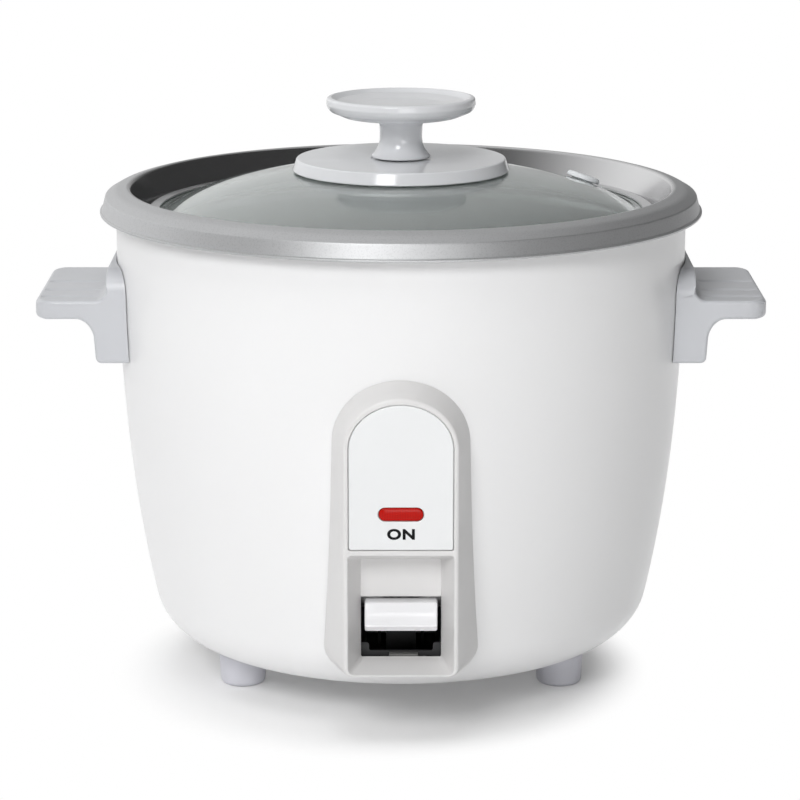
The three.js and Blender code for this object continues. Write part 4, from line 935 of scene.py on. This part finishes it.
def handleGrid(low, high):
    # The outline carried along y. The plan's outer corners are drawn in, the wall plate's top falls away
    # towards its ends, and the ends are rolled over.
    line, top = handleLine(low, high)
    out, halfY, outward = high[0], high[1], outwardOf(line)
    y, shrink = rolledEnds(halfY, handle["endRound"], 6, 96)
    x = line[None, :, 0] - shrink[:, None] * outward[None, :, 0]
    z = line[None, :, 1] - shrink[:, None] * outward[None, :, 1]
    reach = out - handle["planR"] + cornerReach(y, halfY, handle["planR"])
    start = handle["planX"]
    pull = (reach - start) / (out - start)
    x = np.where(x > start, start + (x - start) * pull[:, None], x)
    fall = handle["cornerR"] - cornerReach(y, halfY, handle["cornerR"])
    z = z - fall[:, None] * np.clip((z - top - 2) / (high[2] - top - 2), 0, 1)
    # grooves of depth * exp(-((y - groove) / half) ** 2), fading out before the top's edges
    dips = sum(np.exp(-(((y - g) / handle["grooveHalf"]) ** 2)) for g in handle["grooves"])
    level = np.clip((z - top + 0.9) / 0.6, 0, 1) * np.clip((x - 114.5) / 3, 0, 1)
    level = level * np.clip((reach[:, None] - 1.6 - x) / 2, 0, 1)
    z = z - np.where(z < top + 0.2, handle["grooveDepth"] * dips[:, None] * level, 0)
    # the back follows the body's wall
    wallTop, wallFoot = z[:, -1:], z[:, :1]
    down = np.linspace(0, 1, 14)[None, 1:-1]
    backZ = np.hstack([wallTop, wallTop + (wallFoot - wallTop) * down, wallFoot])
    x = np.hstack([x[:, 1:-1], wallY(y[:, None], backZ)])
    z = np.hstack([z[:, 1:-1], backZ])
    x = np.maximum(x, wallY(y[:, None], z))
    return np.stack([x, y[:, None] + 0 * x, z], -1)


def makeHandles():
    # one form and its mirror image, each with a pocket cut into it from below
    low, high = boxOf("handle_right")
    grid = handleGrid(low, high)
    halfY, startX = handle["pocket"]
    q = frameLine(halfY, startX, high[0] - handle["wall"] - 2.0, *handle["pocketCorners"])
    z = np.array([low[2] - 3, low[2] + handle["height"] - handle["wall"]])[:, None]
    hollow = np.stack([q[:, 1] + 0 * z, q[:, 0] + 0 * z, z + 0 * q[:, 0]], -1)
    for side, name in ((1, "right"), (-1, "left")):
        turn = np.array([side, 1, 1])
        look = ("cooker", "pale_gray_plastic", palePlastic, [f"handle_{name}"])
        cuts = [[closed(hollow * turn)]]
        surfaces = [closed(grid * turn)]
        buildPiece(f"handle{name.capitalize()}", surfaces, *look, cuts=cuts, sharp=50)


makeHandles()
print("handles made")


housing = {
    "arch": (20.6, 28.4, 130.8, 3.6),  # half width, low, top, corner
    "springDrop": 18.8,  # the arch starts this far below its top
    "draft": 0.29,
    "lowDraft": 0.8,  # how much slower the foot spreads
    "topDraft": 1.45,  # how much faster the arch spreads at its top
    "edge": 1.1,  # rounding of the front edge at the sides and the top
    "recessGap": 0.3,  # round the face plate
    "recessDepth": 2.1,
    "plate": (18.4, 75.6, 128.0),  # half width, low, top
    "alcove": (18.8, 29.4, 73.4),
    "alcoveCorners": (2.2, 1.3),
    "alcoveDepth": 12.5,
    "alcoveDraft": 4.4,  # how far the sides and the top come in towards the back
    "alcoveRise": 2.8,  # and how far the foot rises
    "mouth": (14.85, 32.35, 55.0),
    "mouthSpread": (0.9, 2.6),  # the room behind the mouth is wider by, and lower by
    "catch": (5.2, 3.3, 0.9),  # half width, height, shift in x
    # the bar of painted shade behind the catch
    "shadeBar": (6.6, 3.6, 3.8),  # height at the ends and in the middle, width of the ends
}
springZ = housing["arch"][2] - housing["springDrop"]


def archLine(halfX, low, spring, top, corner):
    # quarter circles at the lower corners, straight sides, and half an ellipse above
    q = quarterTurn(9)
    a = quarterTurn(29)[1:]
    floor = np.linspace(0, halfX - corner, 6)[:-1]
    side = np.linspace(low + corner, spring, 22)[1:-1]
    x = np.r_[floor, halfX - corner + corner * np.sin(q), side * 0 + halfX, halfX, halfX * np.cos(a)]
    crown = spring + (top - spring) * np.sin(a)
    z = np.r_[floor * 0 + low, low + corner - corner * np.cos(q), side, spring, crown]
    return bothSides(x, z)


def rolledRings(lineAt, y, edge, count):
    # a rolled edge: the outline moved out by edge * (1 - sin t) at y + |edge| * (1 - cos t)
    turns = quarterTurn(count)
    return [ringAt(lineAt(edge * (1 - math.sin(t))), y + abs(edge) * (1 - math.cos(t))) for t in turns]


def outerRings(front):
    # Behind the rolled front edge each point moves back and outwards by draft * depth until the wall stops
    # it; each step finds the depth from the place that the last one gave.
    edge, draft = housing["edge"], housing["draft"]

    def arch(out):
        halfX, low, top, corner = housing["arch"]
        foot, crown = low - out * housing["lowDraft"], top + out * housing["topDraft"]
        return archLine(halfX + out, foot, springZ, crown, max(corner + out, 0.5))

    rings = rolledRings(arch, front, -edge, 7)
    start, direction = arch(0), arch(1) - arch(0)
    depth = np.full(len(start), 12.0)
    for _ in range(12):
        x, z = (start + direction * (draft * depth)[:, None]).T
        depth = -wallY(x, z) - front
    for share in np.linspace(0, 1, 9)[1:]:
        now = edge + (depth - edge) * share
        rings.append(ringAt(start + direction * (draft * now)[:, None], front + now))
    return np.array(rings)


def sunkRings(lineAt, frontY, backY, draft, edge):
    # a recess: its mouth is rolled over, then it runs back and narrows by draft * share
    rings = rolledRings(lineAt, frontY, edge, 5)
    for share in np.linspace(0, 1, 7)[1:]:
        rings.append(ringAt(lineAt(-draft * share), frontY + edge + (backY - frontY - edge) * share))
    return rings


def makeHousing():
    # a skin, a recess for the face plate and an alcove that opens into the body, joined by flat fills
    front = boxOf("switch_housing")[0][1]
    backY, (halfX, mouthLow, mouthTop) = front + housing["alcoveDepth"], housing["mouth"]

    def recess(out):
        gap, (halfX, low, top) = housing["recessGap"], housing["plate"]
        return archLine(halfX + gap + out, low - gap - out, springZ, top + gap + out, 0.9 + out)

    def alcove(out):
        # out runs from the rolled mouth down to minus the draft at the back wall
        halfX, low, top = housing["alcove"]
        back, rolled = max(-out, 0) / housing["alcoveDraft"], max(out, 0)
        foot = low - out if out > 0 else low + housing["alcoveRise"] * back
        lower, upper = housing["alcoveCorners"]
        corners = lower + rolled - 1.2 * back, upper + rolled - 0.5 * back
        return frameLine(halfX + out, foot, top + out, *corners)

    sunk = np.array(sunkRings(recess, front, front + housing["recessDepth"], 0.0, 0.3))
    niche = sunkRings(alcove, front, backY, housing["alcoveDraft"], 0.45)
    mouth = frameLine(halfX, mouthLow, mouthTop, 0.9, 0.9)
    wider, lower = housing["mouthSpread"]
    room = frameLine(halfX + wider, mouthLow - lower, mouthTop + wider, 0.5, 0.9)
    niche += [ringAt(mouth, backY), ringAt(mouth, backY + 0.4), ringAt(room, backY + 0.9)]
    niche.append(ringAt(room, -wallY(room[:, 0], room[:, 1])))
    outer = outerRings(front)
    surfaces = [(outer, False, True, ""), (sunk, False, True, "last"), (np.array(niche), False, True, "")]
    fills = [(front - 0.01, front + 0.005), (front + 3, 0)]
    look = ("cooker", "housing_plastic", housingPlastic, ["switch_housing"])
    buildPiece("switchHousing", surfaces, *look, fills=fills)
    # a catch at the mouth's foot, part of the housing's moulding, in a dark plastic that paints the mouth's
    # shade onto it
    halfWide, tall, shift = housing["catch"]
    stop = frameLine(halfWide, mouthLow - lower, mouthLow - lower + tall, 0.3, 0.5) + np.array([shift, 0])
    catch = blockAlongY(stop, backY + 1.0, backY + 3.2)
    buildPiece("switchCatch", catch, "cooker", "black_plastic", catchShadePlastic, ["switch_housing"])
    # a dark bar behind it, higher at its ends, hides the vents in the bottom plate: a sheet of painted shade
    # that keeps the opening dark
    ends, middle, wide = housing["shadeBar"]
    out, foot = halfX + 0.5, mouthLow - 2.4
    half = [
        (0, foot), (out, foot, 0.3), (out, foot + ends, 0.3), (out - wide, foot + ends, 0.8),
        (out - wide, foot + middle, 0.8), (0, foot + middle),
    ]
    shadeBar = blockAlongY(bothSides(*filleted(half, 4).T), backY + 3.5, backY + 4.7)
    buildPiece("switchShadeBar", shadeBar, "cooker", "black_plastic", blackPlastic, ["switch_housing"])


def stadiumLine(halfX, halfZ, z):
    # two half circles joined by straight lines
    a = np.linspace(-np.pi / 2, np.pi / 2, 17)
    right = np.stack([halfX - halfZ + halfZ * np.cos(a), z + halfZ * np.sin(a)], -1)
    return np.vstack([right, np.stack([-right[::-1, 0], right[::-1, 1]], -1)])


lamp = {"halfX": 7.9, "halfZ": 2.3, "z": 88.6, "gap": 0.25, "holeEdge": 0.2, "crown": 0.28, "flat": 2.0}


def makeFacePlate():
    # a thin arch with a rolled edge and a hole for the lens
    low, high = boxOf("face_plate")
    front, back, edge = low[1], high[1], 0.55

    def plate(out):
        out = out + 0.12
        return archLine(high[0] + out, low[2] - out, springZ, high[2] + out, 0.8 + out)

    def hole(out):
        return stadiumLine(halfX + lamp["gap"] + out, halfZ + lamp["gap"] + out, z)

    z, halfX, halfZ = lamp["z"], lamp["halfX"], lamp["halfZ"]
    rings = [*rolledRings(plate, front, -edge, 6), ringAt(plate(0), back)]
    holes = [*rolledRings(hole, front, lamp["holeEdge"], 6), ringAt(hole(0), back)]
    surfaces = [(np.array(rings), False, True, ""), (np.array(holes), False, True, "")]
    fills = [(front - 0.01, front + 0.005), (back - 0.01, back + 0.01)]
    buildPiece("facePlate", surfaces, "cooker", "face_plastic", facePlastic, ["face_plate"], fills=fills)
    # the lens: its crown rises as the square of how far the outline has drawn in
    front = boxOf("lamp_lens")[0][1]
    side = [ringAt(stadiumLine(halfX, halfZ, z), y) for y in (back + 0.2, front + 0.6)]
    side.append(ringAt(stadiumLine(halfX - 0.07, halfZ - 0.07, z), front + 0.4))
    for d in np.linspace(0, 0.96, 9):
        line = stadiumLine(halfX - 0.25 - lamp["flat"] * d, (halfZ - 0.25) * (1 - d), z)
        side.append(ringAt(line, front + lamp["crown"] * (1 - d) ** 2))
    surface = closed(np.array(side))
    buildPiece("lampLens", [surface], "cooker", "red_lens", lens, ["lamp_lens"])


label = {
    "word": "ON",
    "height": 4.0,
    "stretch": 1.18,
    "spacing": 1.12,
    "weight": 0.042,  # how far the letters' outlines are moved out
    "z": 81.4,
    "raised": 0.05,
    "sunk": 0.2,
}


def makeLabel():
    # the word is made a mesh first, scaled to its height, then stood upright on the plate
    font = bpy.data.curves.new("label", "FONT")
    font.body, font.size, font.extrude, font.space_character = label["word"], 1.0, 0.006, label["spacing"]
    font.offset = label["weight"]
    text = placed("labelText", font)
    mesh = plainMesh(text)
    bpy.data.objects.remove(text)
    co = np.zeros(len(mesh.vertices) * 3, np.float32)
    mesh.vertices.foreach_get("co", co)
    co = co.reshape(-1, 3)
    scale = label["height"] / np.ptp(co[:, 1])
    middle = (co.min(0) + co.max(0)) / 2
    x = (co[:, 0] - middle[0]) * scale * label["stretch"]
    z = (co[:, 1] - middle[1]) * scale + label["z"]
    front = boxOf("face_plate")[0][1]
    depth = np.where(co[:, 2] > 0, front - label["raised"], front + label["sunk"])
    mesh.vertices.foreach_set("co", (np.stack([x, depth, z], -1) * mm).astype(np.float32).ravel())
    dressed(placed("switchLabel", welded(mesh, 1e-6)), "cooker", ink)


makeHousing()
makeFacePlate()
makeLabel()
print("housing, face plate, lens and label made")


lever = {
    "endRound": 0.8,
    "setBack": 1.9,  # of the face's upper edge
    "bow": 1.75,
    "lip": 3.6,  # height of what is left above and below the bowed face
    "edge": 0.8,  # rounding of the upper edge
    "chin": ((0.3, 2.5, 0.2), (0.05, 2.1, 0.3), (1.7, 0, 0.5)),  # back from the front, up, rounding
}


def makeTab():
    # The section carried across x: a face that bows out by bow * sin, a lip below it, rolled ends.
    low, high = boxOf("lever_tab")
    front, back, foot, top = low[1], high[1], low[2], high[2]
    edge, bend, bow = front + lever["setBack"], lever["edge"], np.linspace(0, 1, 14)[1:-1]
    bowed = edge - lever["bow"] * np.sin(np.pi * (0.06 + 0.62 * bow))
    face = np.stack([bowed, top - bend - (top - foot - lever["lip"]) * bow], -1)
    upper = filleted([(back, top), (edge, top, bend), tuple(face[0])], 4)
    chin = [(front + inwards, foot + up, turn) for inwards, up, turn in lever["chin"]]
    lower = filleted([tuple(face[-1]), *chin, (back, foot)], 4)
    line = tidyLine(np.vstack([upper, face[1:-1], lower]))
    outward = outwardOf(line)
    outward[:, 0] = np.where(line[:, 0] > back - 0.5, 0, outward[:, 0])
    if outward[len(line) // 2, 0] > 0:
        outward = -outward
    x, shrink = rolledEnds(high[0], lever["endRound"], 5, 12)
    moved = line[None] - shrink[:, None, None] * outward[None]
    grid = np.stack([x[:, None] + 0 * moved[..., 0], moved[..., 0], moved[..., 1]], -1)
    buildPiece("leverTab", [closed(grid)], "lever", "tab_plastic", tabPlastic, ["lever_tab"])


makeTab()


feet = {
    "hollow": 0.5,  # height of the hollow underneath
    "sole": ((3.6, 0.5), (3.2, 0, 0.3), (0.5, 0, 2.0)),  # inwards, up, rounding
    "shoulder": ((0, 1.5, 0.8), (0.8, 0, 0.4)),  # inwards, down, rounding
    "sides": 72,
}


def makeFeet():
    # three turned feet, drawn in towards the floor and hollow underneath
    for place in ("front_left", "front_right", "rear"):
        low, high = boxOf(f"foot_{place}")
        centre, r, top = ((low + high) / 2)[:2], (high[0] - low[0]) / 2, high[2]
        sole = [(r - inwards, up, *rest) for inwards, up, *rest in feet["sole"]]
        shoulder = fromCorner(feet["shoulder"], r, top)
        profile = filleted([(0, feet["hollow"]), *sole, *shoulder, (0, top)], 6)
        name = "foot" + "".join(part.capitalize() for part in place.split("_"))
        surfaces = [roundLoop(profile, feet["sides"], centre)]
        buildPiece(name, surfaces, "cooker", "pale_gray_plastic", footPlastic, [f"foot_{place}"])


inlet = {
    "shroud": (14.0, 10.0, 2.0),  # half width, half height, corner
    "pocket": (12.0, 8.0, 1.4),
    "pocketDepths": (9, 17),
    "earCorner": 4.0,
    "earStart": 101.5,  # least distance of the ears from the middle plane
    "earEdge": 0.7,
    "earLift": (0.8, 1.6),
}


def makeInlet():
    # a rectangular shroud with rolled edges, outside at its mouth and inside into its pocket
    low, high = boxOf("inlet_housing")
    back, z, ears = high[1], (low[2] + high[2]) / 2, high[0]

    def frame(halfWide, halfHigh, corner):
        return frameLine(halfWide, z - halfHigh, z + halfHigh, corner, corner)

    def quarter(radius, sign, size, y):
        # the frame drawn in or let out by radius * (1 - cos a) at y + radius * sin a
        halfWide, halfHigh, corner = size
        turns = [(sign * radius * (1 - math.cos(a)), y + radius * math.sin(a)) for a in quarterTurn(5)]
        return [ringAt(frame(halfWide - draw, halfHigh - draw, corner), at) for draw, at in turns]

    shroud, pocket = inlet["shroud"], inlet["pocket"]
    rings = [ringAt(frame(*shroud), low[1]), *quarter(0.8, 1, shroud, back - 0.8)]
    rings += quarter(0.6, -1, pocket, back - 0.6)[::-1]
    rings += [ringAt(frame(*pocket), back - depth) for depth in inlet["pocketDepths"]]
    surface = closed(np.array(rings))
    buildPiece("inletShroud", [surface], "cooker", "black_plastic", blackPlastic, ["inlet_housing"])
    # the ears follow the wall, and stand level where it falls away behind them
    halfHigh, corner, edge, start = shroud[1], inlet["earCorner"], inlet["earEdge"], inlet["earStart"]
    plate, trimmed = frame(ears, halfHigh, corner), frame(ears - edge, halfHigh - edge, corner - edge)
    wall, trimmedWall = wallY(*plate.T), wallY(*trimmed.T)
    side, top = inlet["earLift"]
    fold = [ringAt(plate, wall), ringAt(plate, np.maximum(wall, start) + side)]
    fold.append(ringAt(trimmed, np.maximum(trimmedWall, start) + top))
    surface = closed(np.array(fold))
    buildPiece("inletEars", [surface], "cooker", "black_plastic", blackPlastic, ["inlet_housing"])
    # two pins with rounded tips, turned about y
    for side in ("left", "right"):
        low, high = boxOf(f"inlet_pin_{side}")
        centre, r = (low + high) / 2, (high[0] - low[0]) / 2
        t = quarterTurn(8)
        y = np.r_[low[1], low[1], high[1] - r * 0.8 + r * 0.8 * np.sin(t)]
        reach = np.r_[0, r, r * np.cos(t)]
        angle = np.linspace(0, 2 * np.pi, 48, endpoint=False)[:, None]
        x, z = centre[0] + reach * np.cos(angle), centre[2] + reach * np.sin(angle)
        surfaces = [(np.stack([x, y + 0 * angle, z], -1), True, False, "")]
        name = f"inletPin{side.capitalize()}"
        buildPiece(name, surfaces, "cooker", "pin_brass", brass, [f"inlet_pin_{side}"])


makeFeet()
makeInlet()
print("lever, feet and inlet made")


coil = {
    "wire": 0.5,  # radius of the wire
    "turns": 6,
    "deadTurns": 1,  # turns that lie flat at each end
    "travel": 4.1,  # how far the lever presses it together
}


def makeCoil():
    # the wire's middle climbs evenly between the dead turns, which lie flat; a ring of it is
    # middle + wire * (outwards * cos b + up * sin b)
    low, high = boxOf("magnet_spring")
    wire, turns, dead = coil["wire"], coil["turns"], coil["deadTurns"]
    radius = high[0] - wire
    turn = np.linspace(0, turns, turns * 24 + 1)
    climb = np.clip((turn - dead) / (turns - 2 * dead), 0, 1)
    level = low[2] + wire + (high[2] - low[2] - 2 * wire - 2 * dead * 2 * wire) * climb
    level = level + 2 * wire * (np.minimum(turn, dead) + np.maximum(turn - turns + dead, 0))
    outwards = np.stack([np.cos(2 * np.pi * turn), np.sin(2 * np.pi * turn), 0 * turn], -1)
    middle = outwards * radius + level[:, None] * np.array([0, 0, 1])
    b = np.linspace(0, 2 * np.pi, 12, endpoint=False)[None, :, None]
    grid = middle[:, None] + wire * (outwards[:, None] * np.cos(b) + np.array([0, 0, 1]) * np.sin(b))
    spring = buildPiece("magnetCoil", [closed(grid)], "cooker", "bright_steel", steel, ["magnet_spring"])
    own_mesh(spring)


makeCoil()
print("spring made")


kept = {
    steel: "bottom_plate heater_post_1 heater_post_2 heater_post_3 sensor_housing sensor_spring"
    " magnet_rod fuse_clip",
    sheath: "heating_element",
    ferrite: "ferrite_disc magnet",
    neon: "neon_lamp",
    blackPlastic: "lamp_holder microswitch",
    tabPlastic: "microswitch_plunger",
    # the lever and bracket take the shade-darkened steel: painted shade in the opening
    shadeDarkSteel: "lever_arm lever_pivot_pin switch_bracket",
    sleeve: "thermal_fuse lead_live lead_fuse lead_neutral",
}
finishOf = {name: finish for finish, names in kept.items() for name in names.split()}


def dressKept():
    # a finish for each node that no piece replaces
    for name, node in frame["nodes"].items():
        if node.hide_render:
            continue
        material = finishOf.get(name, steel if "screw" in name else None)
        if material is None:
            print("no finish for", name)
            continue
        for place in node.material_slots:
            place.material = material


dressKept()


studio = {
    "floorHalf": 8.0,
    "floor": 0.95,
    "shown": 0.92,
    "lift": 0.12,  # share of plain white mixed into the whole floor
    "fadeStretch": (1.05, 1.0, 1.0),
    "fadeShift": (0.008, 0.016, 0.0),
    "fadeFrom": 0.08,  # metres from the middle, where the floor starts to turn plain white
    "fadeTo": 0.11,
    "sky": 0.05,  # light from all round
    "glow": 1.3,  # added where the glow is brightest
    "glowTowards": (-0.75, 0.6, 0.28),
    "aim": (0.0, 0.0, 0.10),
    "lamps": {
        # place in metres, width, height, watts
        "keyLamp": ((-0.65, -2.1, 1.5), 0.8, 0.8, 29.0),
        "rightLamp": ((0.35, -2.1, 0.35), 0.9, 0.5, 7.4),
        "frontLamp": ((-0.15, -0.8, 1.9), 0.8, 0.8, 6.5),
        "topLamp": ((0.0, 0.4, 1.95), 1.5, 1.5, 3.0),
    },
}


def floorPaper(sheet):
    # pale paper that the camera, glass and metal see as plain white: by lift near the middle, wholly
    # beyond the fade
    tone, lift = studio["floor"], studio["lift"]
    cloud = sheet.noise(3.0, 2)
    colour = sheet.blend(cloud, (tone * 0.995, tone * 0.995, tone, 1), (tone, tone, tone, 1))
    rays = ("Is Camera Ray", "Is Glossy Ray", "Is Transmission Ray")
    seen = sum(sheet.add("LightPath", output=name) for name in rays).clamped()
    shown = sheet.blend(seen, colour, (studio["shown"],) * 3 + (1,))
    paper = sheet.add("BsdfDiffuse", {}, {"Color": shown})
    middle = sheet.radius(studio["fadeStretch"], studio["fadeShift"])
    fade = sheet.smooth(middle, studio["fadeFrom"], studio["fadeTo"])
    plain = sheet.add("Emission", {}, {"Color": (1, 1, 1, 1), "Strength": 1.0})
    return sheet.add("MixShader", {}, {0: seen * (lift + (1 - lift) * fade), 1: paper, 2: plain})


def makeFloor():
    # a level sheet about the middle
    half = studio["floorHalf"]
    x = np.linspace(-half, half, 9)[:, None]
    y = np.linspace(-half, half, 9)[None]
    grid = np.stack([x + 0 * y, y + 0 * x, 0 * x + 0 * y], -1) / mm
    floor = placed("floor", meshOf("floor", [(grid, False, False, "")]))
    floor.data.materials.append(materialOf("floorPaper", floorPaper))


def makeSky():
    # level = sky + glow * (direction . glowTowards, kept within 0 and 1) ** 2
    world = bpy.data.worlds.new("studioSky")
    world.use_nodes = True
    bpy.context.scene.world = world
    sheet = NodeSheet(world.node_tree)
    direction = sheet.add("TexCoord", output="Generated")
    sockets = {0: direction, 1: studio["glowTowards"]}
    towards = sheet.add("VectorMath", {"operation": "DOT_PRODUCT"}, sockets, "Value").clamped()
    level = studio["sky"] + studio["glow"] * towards * towards
    sky = sheet.add("Background", {}, {"Color": (1, 1, 1, 1), "Strength": level})
    sheet.add("OutputWorld", {}, {"Surface": sky})


def makeLamps():
    # each lamp is turned towards the aim
    aim = Vector(studio["aim"])
    for name, (place, wide, high, power) in studio["lamps"].items():
        data = bpy.data.lights.new(name, "AREA")
        data.shape, data.size, data.size_y, data.energy = "RECTANGLE", wide, high, power
        lamp = placed(name, data)
        lamp.location = place
        lamp.rotation_euler = (aim - Vector(place)).to_track_quat("-Z", "Y").to_euler()


makeFloor()
makeSky()
makeLamps()
bpy.context.scene.view_settings.view_transform = "Standard"
print("floor and light made")
